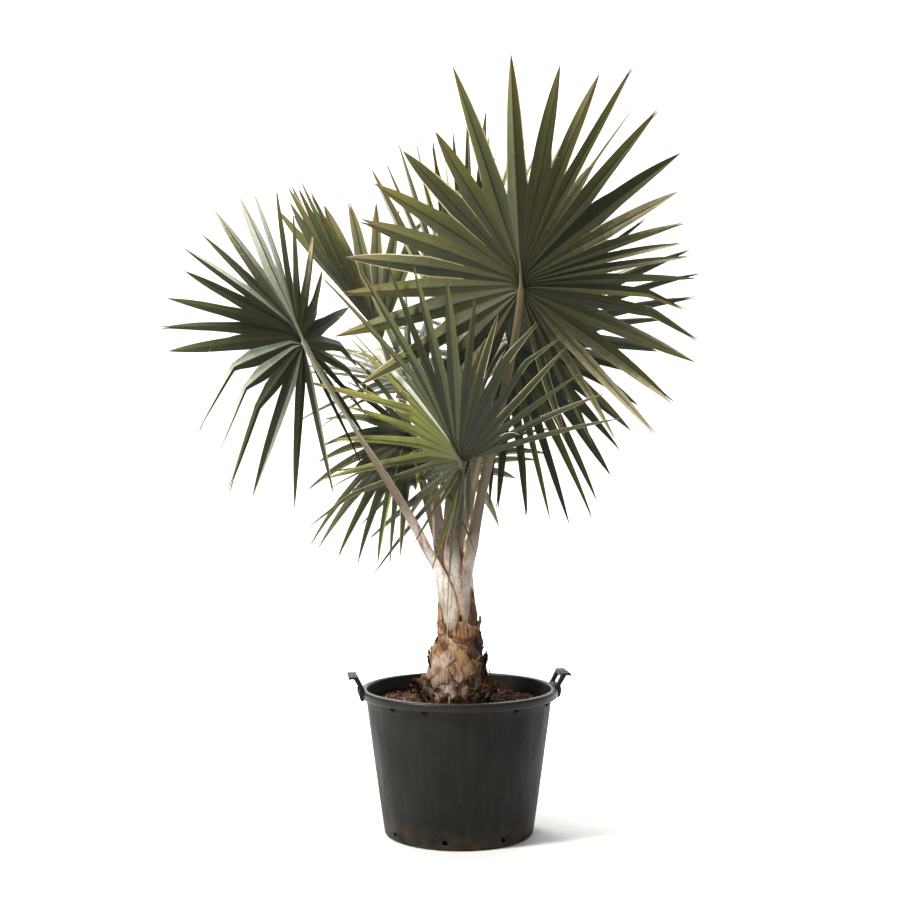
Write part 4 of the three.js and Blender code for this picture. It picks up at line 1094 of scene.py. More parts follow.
WANDER, LOOSENESS, LENGTH_LUCK, DROOP_LUCK, DROOP_POWER, FIRST_SEED = 0.7, 0.06, 0.04, 0.4, 2.2, 100
print("fronds:", len(FRONDS))

# %% [markdown]
# The directions of a frond follow from its row. The blade has a rib, a face and a side, and
# each leaflet is a ray between them that starts on the short costa. Its middle line sags more
# the further out it is, and past the web it may be bent, swayed or kinked as well. The crests
# between neighbours lie halfway between their rays, so that the web has no gaps.

# %% Rays, middle lines and crests
def blade_frame(frond):
    rib = heading_vector(*frond["rib"])
    level = unit(UP - rib * rib[2])
    roll = math.radians(frond["roll"])
    face = level * math.cos(roll) + np.cross(rib, level) * math.sin(roll)
    return dict(rib=rib, face=face, side=np.cross(rib, face), hub=np.array(frond["hub"], float))


def ray_of(frond, blade, u):
    """The direction of the leaflet at u, from -1 to 1 across the fan, and its start."""
    turn, fold = math.radians(abs(u) * frond["spread"]), math.radians(frond["fold"])
    out = blade["side"] * (math.cos(fold) * (-1 if u < 0 else 1)) + blade["face"] * math.sin(fold)
    direction = unit(blade["rib"] * math.cos(turn) + out * math.sin(turn))
    return direction, blade["hub"] + blade["rib"] * COSTA_LENGTH * max(0.0, 1 - 1.4 * abs(u))


def fused_at(frond, u):
    return frond["radius"] * frond["fused"] * (1 - 0.45 * u * u)


def root_width(frond, leaf, distance):
    """Half the width of a leaflet while it fills the room between its two crests."""
    room = math.radians((leaf["right"] - leaf["left"]) * frond["spread"])
    return distance * math.sin(min(room, 0.5)) / 2


def leaf_line(frond, blade, u, length, droop, bend=0.0, kink=None, sway=0.0):
    """A leaflet's middle line: a function from distances to points, and its up and across."""
    direction, start = ray_of(frond, blade, u)
    across = unit(ray_of(frond, blade, u + 0.02)[0] - ray_of(frond, blade, u - 0.02)[0])
    up = unit(np.cross(across, direction))
    sag = DOWN - direction * DOWN.dot(direction)
    leaves = fused_at(frond, u)

    def point(distance):
        d = np.atleast_1d(np.asarray(distance, float))[:, None]
        past = np.maximum(0, d - leaves)
        sunk = sag * (droop * length * (d / length) ** DROOP_POWER)
        at = start + direction * d + sunk + up * (bend * past)
        at = at + across * (sway * past * past / length)
        if kink:
            from_here, amount = kink
            at = at + (unit(direction + DOWN * amount) - direction) * np.maximum(0, d - from_here)
        return at

    return point, up, across


def leaflets_of(frond, seed):
    """Each leaflet's place u, its two crests, its length, its droop and how loosely it stands."""
    draw, count, drawn = Draws(seed), frond["leaflets"], []
    for i in range(count):
        even = -1 + 2 * i / (count - 1) + WANDER / count * draw.either()
        u = frond["turns"][i] / frond["spread"] if "turns" in frond else even
        drawn.append((u, LOOSENESS * draw.either(), draw.either(), draw.either()))
    crests = [drawn[0][0] - 1 / (count - 1)]
    crests += [(a[0] + b[0]) / 2 for a, b in zip(drawn, drawn[1:])] + [drawn[-1][0] + 1 / (count - 1)]
    leaves = []
    for (_, loose, long, sag), left, right in zip(drawn, crests, crests[1:]):
        u = (left + right) / 2
        length = frond["radius"] * float(read_list(frond["reach"], (u + 1) / 2)) * (1 + LENGTH_LUCK * long)
        droop = frond["droop"] * (1 + DROOP_LUCK * sag)
        leaves.append(dict(u=u, left=left, right=right, length=length, droop=droop, kink=None, stub=False,
                           loose=loose, bend=loose))
    return leaves


blades = [blade_frame(f) for f in FRONDS]
leaves_of = [leaflets_of(f, FIRST_SEED + i) for i, f in enumerate(FRONDS)]
print("leaflets:", sum(len(leaves) for leaves in leaves_of))

# %% [markdown]
# In a crowded crown a leaflet that meets another frond is pushed aside by it. The rule here
# is the one that shaped the solids: each free leaflet tries to lie straight, then bends up
# or down by growing steps, and if nothing works it is cut to a stub. To ask whether it
# touches, a plain bar round it is tested against trees of the triangles that are there.

# %% Bend the leaflets clear of each other
FREE_ROW, FREE_WIDTH, TIP_WIDTH, LEAF_CLEARANCE, STUB = 0.5, 0.66, 2.5, 2, 0.07
BEND_STEPS = [0, 0.1, -0.1, 0.2, -0.2, 0.3, -0.3, 0.42, -0.42, 0.55, -0.55]
BAR_FACES = [(r + a, r + (a + 1) % 4, r + 4 + (a + 1) % 4, r + 4 + a) for r in (0, 4) for a in range(4)]
BAR_FACES += [(0, 1, 2, 3), (8, 9, 10, 11)]


def solid_tree(names):
    points, faces = [], []
    for name in names:
        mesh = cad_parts[name].data
        start = len(points)
        points += [tuple(v.co / MM) for v in mesh.vertices]
        faces += [[start + i for i in face.vertices] for face in mesh.polygons]
    return BVHTree.FromPolygons(points, faces)


def free_stations(frond, blade, leaf):
    """Places and half widths along a leaflet's free part, with its up and across."""
    leaves = fused_at(frond, leaf["u"])
    point, up, across = leaf_line(frond, blade, leaf["u"], leaf["length"], leaf["droop"], leaf["bend"])
    wide = root_width(frond, leaf, leaves)
    spots = [leaves, mix(leaves, leaf["length"], FREE_ROW), leaf["length"]]
    return list(zip(point(spots), (wide, wide * FREE_WIDTH, TIP_WIDTH))), up, across


def free_bar(frond, blade, leaf):
    stations, up, across = free_stations(frond, blade, leaf)
    thick = LEAF_THICKNESS / 2 + LEAF_CLEARANCE
    points = []
    for at, half in stations:
        wide = half + LEAF_CLEARANCE
        points += [at + across * a * wide + up * b * thick for a, b in BOX_CORNERS]
    return BVHTree.FromPolygons([tuple(p) for p in points], BAR_FACES)


def sheet_tree(frond, blade, leaves, with_free):
    """The coarse surface of a frond: its web, and its leaflets once they have settled."""
    points, faces = [], []
    for leaf in leaves:
        stations, _, across = free_stations(frond, blade, leaf)
        reached = len(stations) if with_free and not leaf["stub"] else 1
        spots = [(blade["hub"], 1.0)] + stations[:reached]
        start = len(points)
        for at, half in spots:
            points += [tuple(at - across * half), tuple(at + across * half)]
        faces += [(k, k + 1, k + 3, k + 2) for k in range(start, len(points) - 2, 2)]
    return BVHTree.FromPolygons(points, faces)


standing = [solid_tree([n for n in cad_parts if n.startswith(("petiole", "old_leaf"))])]
webs = [sheet_tree(frond, blade, leaves, False) for frond, blade, leaves in zip(FRONDS, blades, leaves_of)]
for i, (frond, blade) in enumerate(zip(FRONDS, blades)):
    others = standing + webs[i + 1:]
    for leaf in leaves_of[i]:
        for bend in BEND_STEPS:
            leaf["bend"] = leaf["loose"] + bend
            bar = free_bar(frond, blade, leaf)
            if not any(bar.overlap(tree) for tree in others):
                break
        else:
            leaf["bend"], leaf["stub"] = leaf["loose"], True
    standing.append(sheet_tree(frond, blade, leaves_of[i], True))
every_leaf = [leaf for leaves in leaves_of for leaf in leaves]
bent = sum(leaf["bend"] != leaf["loose"] for leaf in every_leaf)
print("bent aside:", bent, "cut to stubs:", sum(leaf["stub"] for leaf in every_leaf))

# %% [markdown]
# A palm leaf isn't one green. This palm has a waxy bloom on its upper faces, olive under
# faces, leaflets that go yellow and then straw from the tip, and brown points. Light is
# painted in as well: the deep and shade ramps are painted shade, the bright yellow-green
# ramp is painted sunlight, and the silver ramp is the silvery wax partly brightened into a
# painted highlight. The colours are ramps: each ramp runs from the web to the tip in a few
# steps, every step is a finish with one plain base colour, and each leaflet is dealt a ramp.
# Fine veins are in the bump.

# %% Leaf colours as ramps of finishes
RAMP_STEPS = 11
RAMPS = {
    "olive": [(56, 54, 30), (62, 61, 32), (71, 71, 36), (80, 80, 38), (90, 81, 42), (90, 62, 37)],
    "olive_yellow": [(60, 58, 31), (70, 70, 34), (84, 84, 37), (96, 92, 40), (108, 92, 44), (100, 68, 37)],
    "straw": [(54, 55, 35), (66, 66, 42), (94, 91, 62), (146, 138, 104), (194, 183, 148), (184, 164, 126)],
    # deep and shade: painted shade, for leaflets and halves turned from the light.
    "deep": [(34, 34, 19), (41, 43, 23), (49, 52, 26), (57, 60, 30), (68, 66, 34), (80, 62, 36)],
    "shade": [(24, 29, 20), (27, 35, 23), (32, 41, 25), (38, 48, 29), (44, 52, 31), (54, 48, 30)],
    # The bright yellow-green ramp below is painted sunlight on the leaflets.
    "fresh": [(76, 80, 37), (92, 96, 40), (110, 113, 45), (124, 122, 49), (134, 120, 53), (124, 92, 47)],
    "sage": [(63, 65, 43), (71, 73, 48), (80, 82, 53), (89, 90, 58), (100, 94, 61), (103, 82, 54)],
    # silver: the palm's silvery wax, partly brightened into a painted highlight.
    "silver": [(130, 134, 116), (166, 168, 150), (198, 198, 180), (214, 212, 196), (218, 210, 186),
               (184, 164, 130)],
    "bloom": [(98, 104, 88), (118, 124, 106), (138, 143, 123), (152, 154, 130), (162, 156, 126),
              (146, 126, 92)],
    "teal": [(34, 48, 34), (39, 55, 38), (46, 62, 43), (54, 70, 47), (64, 76, 50), (74, 68, 44)],
}
RAMP_START = {ramp: i * RAMP_STEPS for i, ramp in enumerate(RAMPS)}
# The fold column of each leaflet takes the darker ramp listed here: painted shade in the crease.
FOLD_SHADE_RAMP = {"silver": "sage", "bloom": "sage", "straw": "olive", "fresh": "olive", "sage": "deep",
             "deep": "shade"}


def build_leaf_finish(ramp, step):
    share = step / (RAMP_STEPS - 1)
    colour = [float(read_list([stop[k] for stop in RAMPS[ramp]], share)) for k in range(3)]
    material, tree, shader = new_finish(f"leaf_{ramp}_{step + 1}", 0.52, 0.24)
    shader.inputs["Base Color"].default_value = (*srgb(*colour), 1)
    add_bump(tree, shader, use_group(material, LEAF_VEINS, Fineness=420.0)["Height"], 0.4, 0.0008)
    return material


LEAF_FINISHES = [build_leaf_finish(ramp, step) for ramp in RAMPS for step in range(RAMP_STEPS)]
print("leaf finishes:", len(LEAF_FINISHES))

# %% [markdown]
# Which colours a frond shows depends on which face is seen and how the light reaches it, so
# the ramps are listed, one row for each part of a fan, up to a place u across it.
# Where the two halves of a leaflet differ, the row gives two ramps with a stroke between them:
# one half may keep its bloom where the other has lost it, and where one ramp is deep or shade,
# that half is painted shade, as on a half turned from the light. The under faces of the two
# large fans show one by one, so each of their leaflets has a word of its own, most of them a
# lit half and a painted shade half. Their rows are still drawn from, so that the draws after
# them fall as they would without the words.

# %% Which ramps each frond draws from
# In these rows deep and shade are painted shade, on whole leaflets or on the half turned from the light.
DRESS = {
    "front_right": dict(
        under=[(-0.93, "olive"), (-0.6, "olive straw olive"),
               (-0.3, "olive straw/olive olive straw olive_yellow"),
               (-0.05, "olive_yellow olive_yellow/olive"), (0.3, "olive olive/sage olive"),
               (1, "olive olive_yellow olive")],
        upper=[(1, "bloom sage/bloom bloom bloom/straw")]),
    "left": dict(
        under=[(-0.5, "deep olive"), (-0.1, "deep/silver deep deep/straw")],
        upper=[(1, "bloom sage/bloom bloom silver/bloom")]),
    "front": dict(
        under=[(-0.35, "deep olive/deep deep/shade deep"), (0.0, "sage/shade deep sage/shade olive/deep"),
               (0.25, "sage/deep fresh/sage silver/deep sage/shade olive/deep"),
               (0.72, "fresh fresh/olive_yellow fresh olive_yellow"), (1, "sage olive")],
        upper=[(-0.1, "sage bloom bloom"), (1, "fresh/sage sage bloom")]),
    # The right fan's upper faces are painted in shade.
    "right": dict(
        under=[(1, "bloom sage/bloom bloom")],
        upper=[(-0.1, "shade deep/shade deep"), (0.4, "deep olive/shade shade"), (1, "shade deep olive")]),
    "back": dict(
        under=[(1, "sage olive")],
        upper=[(-0.15, "silver silver/sage"), (0.12, "silver/fresh teal silver"),
               (0.4, "silver silver/olive_yellow silver"), (1, "silver/deep sage silver teal/silver")]),
    "upper_left": dict(
        under=[(1, "olive deep")],
        upper=[(0, "olive/deep deep sage/olive"), (1, "olive/sage olive_yellow/olive olive")]),
    "lower_left": dict(
        under=[(1, "deep sage")],
        upper=[(0, "deep fresh/deep deep"), (1, "deep olive/deep sage")]),
    "spear": dict(under=[(1, "olive_yellow olive")], upper=[(1, "sage fresh")]),
    "back_right": dict(under=[(1, "olive sage")], upper=[(1, "sage/bloom bloom bloom sage")]),
    "back_left": dict(under=[(1, "olive deep")], upper=[(1, "sage bloom/sage bloom")]),
    "back_low": dict(under=[(1, "olive deep")], upper=[(1, "sage bloom bloom/sage")]),
}
# In each pair the darker half, mostly deep, is painted shade on the half turned from the light.
LEAFLET_WORDS = {
    "front_right": "olive/deep olive/deep straw straw straw/olive olive/straw deep/olive olive_yellow/deep "
                   "deep straw/deep straw/deep olive/straw straw olive/deep sage/olive straw "
                   "olive_yellow/olive olive_yellow/olive olive_yellow/olive olive/sage sage/olive "
                   "olive/deep olive/deep olive_yellow/olive olive/deep olive/deep olive_yellow/olive "
                   "olive_yellow/olive olive_yellow/olive olive/deep olive/deep",
    "left": "deep deep/silver deep olive/deep olive deep deep/straw deep/straw deep/sage silver/sage "
            "silver silver silver/straw sage silver/deep deep olive/deep deep olive/deep silver/deep "
            "silver/deep sage/deep deep/silver deep deep/silver",
}


def halves(word):
    """The ramps of a leaflet's two halves."""
    pair = word.split("/")
    return pair[0], pair[-1]


def deal_ramps(rows, u, rng):
    names = next((names for limit, names in rows if u <= limit + 1e-6), rows[-1][1])
    return halves(str(rng.choice(names.split())))


def looks_of(frond, i, leaf, rng):
    dress = DRESS[frond["name"]]
    upper, under = deal_ramps(dress["upper"], leaf["u"], rng), deal_ramps(dress["under"], leaf["u"], rng)
    if frond["name"] in LEAFLET_WORDS:
        under = halves(LEAFLET_WORDS[frond["name"]].split()[i])
    return upper, under


print("fronds dressed:", len(DRESS))

# %% [markdown]
# Each leaflet is two narrow strips that meet in a trough along the middle, like a half-open
# book. In the web the trough and the crest between neighbours make the pleats. Further out
# the strips taper evenly, and at some tips they part into two points. Upper and under sheets
# meet at the edges and stand a millimetre or so apart in the middle, so the leaflet is a
# slim lens.

# %% Leaflet strips
WEB_ROWS, FREE_ROWS, LEAFLET_SHARE, OPENED_BY = 7, 18, 0.042, 0.3
ACROSS = np.array([1.0, 0.88, 0.5, 0.12, 0.0])
# Steps added across each half leaflet, rim first: painted light at the rim, painted shade towards the fold.
PLEAT_LIGHT_AND_SHADE = np.array([1.3, 0.0, -0.3, -0.9])
WIDTH_AT = ([0, 0.15, 0.35, 0.55, 0.72, 0.86, 0.95, 1.0], [1.0, 0.97, 0.9, 0.76, 0.56, 0.33, 0.15, 0.03])
HUB_THICK, WEB_THICK, TIP_THICK, FORK_THICK = 1.6, 1.3, 0.5, 0.4
POINT_SHARE, PARTS_WHEN, STRIP_BOW, TIP_CROWDING = 0.968, 2.05, 0.06, 1.25
HUB_MARKS, HUB_ALONG, FORK_DEEPER = np.array([0.12, 0.55]), [8, 20], 0.9


def parts_at(frond, u, room):
    """How far out the web parts: sooner where two leaflets stand wide apart."""
    room = math.radians(max(room * frond["spread"], 3))
    return min(fused_at(frond, u), PARTS_WHEN * LEAFLET_SHARE * frond["radius"] / room)


def strip_rows(frond, blade, leaf, edge, side):
    """Middle, edge and up direction of one half of a leaflet, row by row from the hub."""
    u, length, droop, split = leaf["u"], leaf["length"], leaf["droop"], leaf["split"]
    pleat = frond.get("pleat", PLEAT_DEPTH)
    flat, up, across = leaf_line(frond, blade, u, length, droop)
    free, _, _ = leaf_line(frond, blade, u, length, droop, leaf["bend"], leaf["kink"], leaf["sway"])
    end = mix(split, length, 2 * STUB) if leaf["stub"] else length

    t = np.linspace(0, 1, WEB_ROWS + 1)
    web_at = mix(HUB_RADIUS, split, t)
    sunk = pleat * np.array([root_width(frond, leaf, d) for d in web_at])
    web_mid = flat(web_at) - up * sunk[:, None]
    edge_point, edge_split = edge
    web_edge = edge_point(mix(HUB_RADIUS, edge_split, t))
    hub_t = HUB_MARKS[:, None]
    hub_mid, hub_edge = mix(blade["hub"], web_mid[:1], hub_t), mix(blade["hub"], web_edge[:1], hub_t)

    s = np.linspace(0, 1, FREE_ROWS + 1)[1:] ** TIP_CROWDING
    root = root_width(frond, leaf, split)
    slender = min(root, LEAFLET_SHARE * frond["radius"])
    opening = smoothstep(s, 0.0, OPENED_BY)
    wide = mix(root, slender, opening) * np.interp(s, *WIDTH_AT) * mix(1.0, leaf["slim"], opening)
    spine = free(mix(split, end, s))
    lean = (leaf["twist"] * s)[:, None]
    turned_across = across * np.cos(lean) + up * np.sin(lean)
    turned_up = up * np.cos(lean) - across * np.sin(lean)
    depth = pleat * wide * (1 + 0.6 * s * (pleat < 0.6))
    start_offset = web_edge[-1] - flat([split])[0]
    offset = turned_across * (side * wide)[:, None]
    free_edge = spine + mix(offset, start_offset * (wide / wide[0])[:, None], (1 - opening)[:, None])
    free_mid = spine - turned_up * depth[:, None]

    past = np.clip((s - leaf["forks"]) / (1 - leaf["forks"] + 1e-6), 0, 1)
    narrow = slender * float(np.interp(leaf["forks"], *WIDTH_AT)) / 2
    finger = turned_across * side
    aside = finger * (narrow * (1 + FORK_DEEPER * past))[:, None]
    centre = spine + aside - turned_up * (depth * 0.5)[:, None]
    half = (narrow * (1 - past) ** 0.8 + 0.25)[:, None]
    beyond = ((past > 0) & (leaf["forks"] < 1))[:, None]
    free_mid = np.where(beyond, centre - finger * half, free_mid)
    free_edge = np.where(beyond, centre + finger * half, free_edge)

    mid, rim = np.vstack([hub_mid, web_mid, free_mid]), np.vstack([hub_edge, web_edge, free_edge])
    rows_up = np.vstack([np.repeat(up[None], len(hub_t) + WEB_ROWS + 1, 0), turned_up])
    free_thick = np.where(past > 0, FORK_THICK, mix(WEB_THICK, TIP_THICK, s))
    thick = np.concatenate([np.full(len(hub_t), HUB_THICK), np.full(WEB_ROWS + 1, WEB_THICK), free_thick])
    along = np.concatenate([HUB_ALONG, web_at, mix(split, end, s)])
    return mid, rim, rows_up, thick, along


print("rows in a leaflet:", len(HUB_MARKS) + WEB_ROWS + 1 + FREE_ROWS)

# %% [markdown]
# Both sheets of a half leaflet are laid over its rows and bowed up a little. The finish of
# each small face is a step of the leaflet's ramp, and the steps rise on the way out. Each of
# the four columns is moved a few steps of its own: lighter at the rim and darker towards the
# fold, as painted light and shade across the pleat, with a random stripe on top. The column
# at the fold takes a darker ramp as painted shade in the crease, the one at the rim may have
# dried, and the last rows are the brown point.

# %% Sheets and colours of a leaflet
def add_half(maker, frond, blade, leaf, edge, side, ramps, rng):
    """One half of a leaflet: its upper and its under sheet, each with its own ramp."""
    mid, rim, rows_up, thick, along = strip_rows(frond, blade, leaf, edge, side)
    across = ACROSS[None, :, None]
    sheet = mid[:, None] * (1 - across) + rim[:, None] * across
    bow = (np.linalg.norm(rim - mid, axis=1) * STRIP_BOW)[:, None, None] * (across * (1 - across) * 4)
    sheet = sheet + rows_up[:, None] * bow
    lens = thick[:, None, None] * (1 - across ** 2) * rows_up[:, None]
    from_rim = np.linalg.norm(sheet - rim[:, None], axis=2) * MM * side + leaf["u"]
    place = np.stack([np.repeat(along[:, None], len(ACROSS), 1) * MM, from_rim], -1)
    share = (along[:-1] / max(leaf["length"], 1))[:, None]
    # Painted light and shade across the pleat, with a random stripe added to each column.
    streaks = PLEAT_LIGHT_AND_SHADE + rng.uniform(-0.9, 0.9, 4)
    climb = share ** leaf["age"] * (RAMP_STEPS - 1.4)
    step = climb + streaks[None] + leaf["tone"] + 0.5 * np.sin(share * 9 + leaf["u"] * 40) * share
    step = np.clip(np.round(step), 0, RAMP_STEPS - 2).astype(int)
    step = np.where(share > POINT_SHARE, RAMP_STEPS - 1, step)
    dried = RAMP_START["straw"] + np.clip(step[:, 0] + 2, 4, 9)
    for layer, ramp in zip((1, -1), ramps):
        finish = RAMP_START[ramp] + step
        # The column at the fold: painted shade in the crease.
        finish[:, 3] = RAMP_START[FOLD_SHADE_RAMP.get(ramp, "deep")] + step[:, 3]
        if leaf["rimmed"]:
            finish[:, 0] = np.where(share[:, 0] > leaf["rimmed"], dried, finish[:, 0])
        maker.grid(sheet + lens * layer, finish=finish, place=place, flip=side * layer > 0)


def boundary(frond, blade, leaves, i):
    """The crest between leaflet i - 1 and leaflet i, shared by both, and where the web parts."""
    before, after = leaves[max(i - 1, 0)], leaves[min(i, len(leaves) - 1)]
    u = leaves[i]["left"] if i < len(leaves) else before["right"]
    length, droop = (before["length"] + after["length"]) / 2, (before["droop"] + after["droop"]) / 2
    room = after["u"] - before["u"] if after is not before else before["right"] - before["left"]
    return leaf_line(frond, blade, u, length, droop)[0], parts_at(frond, u, room)


print("columns in half a leaflet:", len(ACROSS) - 1)

# %% [markdown]
# No two leaflets are quite alike. Each gets its own age, which sets how far the yellow has
# come down from the tip, a little twist and sway, and for some a forked tip. A few at the
# sides of a fan have snapped and hang from a kink. Three on the left fan, which are the
# oldest there, hang steeply and have shrunk to about half their width, and one in the middle
# of the front right fan is narrower still.

# %% Build the fans
SHRUNK = {("front_right", 15): 0.35, ("left", 19): 0.6, ("left", 20): 0.5, ("left", 21): 0.55}
HANGING = {("left", 19): 1.0, ("left", 20): 1.1, ("left", 21): 0.9}
FORKED_CHANCE, FORK_AT, RIMMED_CHANCE, SNAPPED_CHANCE, FAN_SEED = 0.35, 0.9, 0.55, 0.2, 700


def build_blade(number):
    frond, blade, leaves = FRONDS[number], blades[number], leaves_of[number]
    rng = np.random.default_rng(FAN_SEED + number)
    maker = Maker()
    edges = [boundary(frond, blade, leaves, i) for i in range(len(leaves) + 1)]
    for i, leaf in enumerate(leaves):
        leaf["split"] = (edges[i][1] + edges[i + 1][1]) / 2
        leaf["tone"], leaf["twist"] = rng.normal(0, 0.6), rng.uniform(-0.4, 0.4)
        leaf["sway"], leaf["age"] = rng.uniform(-0.07, 0.07), rng.uniform(1.2, 2.4)
        leaf["forks"] = FORK_AT if rng.uniform() < FORKED_CHANCE else 1.0
        leaf["rimmed"] = rng.uniform(0.25, 0.7) if rng.uniform() < RIMMED_CHANCE else 0
        leaf["slim"] = SHRUNK.get((frond["name"], i), 1.0)
        upper, under = looks_of(frond, i, leaf, rng)
        if under == ("straw", "straw"):
            leaf["age"] = 1.0
        free = leaf["length"] - leaf["split"]
        if (frond["name"], i) in HANGING:
            leaf["kink"] = (leaf["length"] - 0.75 * free, HANGING[frond["name"], i])
        elif abs(leaf["u"]) > 0.5 and not leaf["stub"] and rng.uniform() < SNAPPED_CHANCE:
            leaf["kink"] = (leaf["length"] - rng.uniform(0.35, 0.6) * free, rng.uniform(0.25, 0.5))
        for half, side in enumerate((-1, 1)):
            add_half(maker, frond, blade, leaf, edges[i + half], side, (upper[half], under[half]), rng)
    make_piece(f"fan_{frond['name']}", maker, LEAF_FINISHES, [f"blade_{frond['name']}"])


for number in range(len(FRONDS)):
    build_blade(number)

# %% [markdown]
# A leaf stalk starts as a broad sheath round the trunk and narrows into a stout, channelled
# rod. The sheaths are covered in white wax over rosy skin, with brown specks and dry brown
# edges, and together they make the pale column under the crown. Higher up each stalk takes
# its own colour: olive brown, silver grey or slate. The change follows the height.

# %% Stalk finishes
WAX, STAINS, STALK_SPECKS = srgb(204, 196, 189), srgb(112, 92, 74), srgb(98, 64, 44)


def build_stalk_skin(name, grown, tip, rosy=(154, 130, 120), turns_at=(0.84, 0.99)):
    """Waxy below, then the grown colour from the heights in turns_at, then the tip's colour."""
    material, tree, shader = new_finish(name, 0.55, 0.3)
    where = place_node(tree)
    height = axis_node(tree, where, "Z")
    blush = noise_node(tree, stretched(tree, where, 1.0, 1.0, 0.3), 20.0, 6.0, 0.68, 0.44, 0.58)
    waxy = mix_colours(tree, blush, WAX, srgb(*rosy))
    wavy = math_node(tree, "ADD", height, math_node(tree, "MULTIPLY", blush, -0.05))
    base = mix_colours(tree, range_node(tree, wavy, *turns_at), waxy, srgb(*grown))
    skin = mix_colours(tree, range_node(tree, height, 1.0, 1.6), base, srgb(*tip))
    fibres = use_group(material, FIBRES, Fineness=90.0, Run=7.0)
    streaked = mix_colours(tree, fibres["Mask"], skin, STAINS, 0.3)
    specks = use_group(material, SPECKS, Scale=120.0, Cut=0.6)["Mask"]
    tree.links.new(mix_colours(tree, specks, streaked, STALK_SPECKS, 0.55), shader.inputs["Base Color"])
    add_bump(tree, shader, fibres["Height"], 0.4, 0.0014)
    return material


DRY_EDGE = build_bark("dry_sheath_edge", (96, 64, 44), (168, 128, 92), (202, 172, 136))


def stalk_skins(colour, skin, channel, **heights):
    """The finishes of one kind of stalk: its skin, its channel and its sheath's dry edge."""
    outside = build_stalk_skin(f"{colour}_stalk_skin", *skin, **heights)
    return [outside, build_stalk_skin(f"{colour}_stalk_channel", *channel, **heights), DRY_EDGE]


PLAIN_SKINS = stalk_skins("green", [(112, 106, 78), (98, 98, 68)], [(94, 86, 62), (84, 84, 58)])
STALK_SKINS = {
    "front_right": stalk_skins("brown", [(70, 64, 40), (86, 80, 54)], [(60, 50, 33), (76, 70, 48)],
                               turns_at=(0.79, 0.9)),
    "left": stalk_skins("silver", [(152, 152, 130), (120, 121, 100), (138, 124, 106), (0.84, 0.94)],
                        [(84, 64, 46), (70, 64, 50), (112, 84, 66)]),
    "front": stalk_skins("slate", [(40, 45, 41), (46, 52, 45)], [(33, 38, 34), (40, 46, 40)],
                         turns_at=(0.8, 0.89)),
}
print("stalk finishes:", 2 * (len(STALK_SKINS) + 1))

# %% [markdown]
# The middle line of a stalk is a smooth curve drawn by four points. It leaves the trunk the
# way the sheath leans, and it comes to the hub from under the fan. A short table gives the
# width and the thickness of the rod at some distances from its foot.

# %% The stalk's middle line
SHEATH_HEIGHT, SHEATH_THICK, SHEATH_LEAN, STALK_SHARE, SHEATH_TUCK = 280, 5, 4.2, 0.45, 1.6
SHEATH_WIDTHS = [1, 1, 0.98, 0.8, 0.55, 0.3]
PETIOLE_TIP, APPROACH, SEAT_DEPTH, FOOT_PULL, HUB_PULL, SPEAR_START = (19, 11), 0.16, 3, 0.22, 0.3, 400
PETIOLE_STATIONS = [(0, 50, 5), (100, 46, 9), (200, 36, 14), (320, 30, 17), (800, 24, 14), (1300, 20, 12)]
GROOVE_DEPTH, GROOVE_SHARE = 0.34, 0.42
RING_POINTS, STOUT = 36, {"front_right": 0.55, "left": 0.35}


def stalk_curve(frond, blade):
    """The four points of the stalk's centre line from the sheath to the hub, and its length."""
    foot, out = SOIL_TOP + frond["foot"][1], heading_vector(frond["foot"][0])
    spear = frond["name"] == "spear"

    def in_sheath(z):
        return trunk_middle(z) + out * (scale_radius(z, foot, SHEATH_LEAN) + SHEATH_THICK / 2)

    begin = foot + SHEATH_HEIGHT * STALK_SHARE
    start = trunk_middle(TRUNK_HEART) + UP * 0.6 if spear else in_sheath(begin)
    rise = UP if spear else unit(in_sheath(begin + 30) - start)
    end = blade["hub"] - blade["face"] * (LEAF_THICKNESS / 2 + PETIOLE_TIP[1] / 2 - SEAT_DEPTH)
    chord = np.linalg.norm(end - start)
    arrive = unit(blade["rib"] * 0.55 + unit(end - start))
    rising = arrive.dot(blade["face"])
    if rising < APPROACH:
        arrive = unit(arrive + blade["face"] * (APPROACH - rising))
    curve = (start, start + rise * chord * FOOT_PULL, end - arrive * chord * HUB_PULL, end)
    return curve, chord, out, foot, spear


def curve_at(curve, t):
    a = 1 - t
    p0, p1, p2, p3 = curve
    return p0 * a ** 3 + p1 * 3 * a * a * t + p2 * 3 * a * t * t + p3 * t ** 3


def curve_run(curve, t):
    a = 1 - t
    p0, p1, p2, p3 = curve
    return unit((p1 - p0) * a * a + (p2 - p1) * 2 * a * t + (p3 - p2) * t * t)


print("stations along a stalk:", len(PETIOLE_STATIONS))

# %% [markdown]
# Each stalk is one loft. Its low rings are thin arcs that hug the trunk, its high rings are
# rounded with a groove on the upper face, and the rings between turn one into the other. The
# points of both kinds run round in the same order, so that the loft doesn't wring itself.

# %% Stalk rings
def rounded_ring(at, side, deep, wide, thick, groove):
    """A stalk's cross-section: full below, with a shallow channel on its upper face."""
    turns = np.linspace(0, 2 * math.pi, RING_POINTS, endpoint=False)
    x, y = np.cos(turns), np.sin(turns)
    x, y = np.sign(x) * np.abs(x) ** 0.8 * wide / 2, np.sign(y) * np.abs(y) ** 0.9 * thick / 2
    hollow = groove * thick * np.clip(1 - (x / (wide * GROOVE_SHARE)) ** 2, 0, 1)
    y = y + np.where(np.sin(turns) < 0, hollow, 0)
    return at + side * x[:, None] + deep * y[:, None]


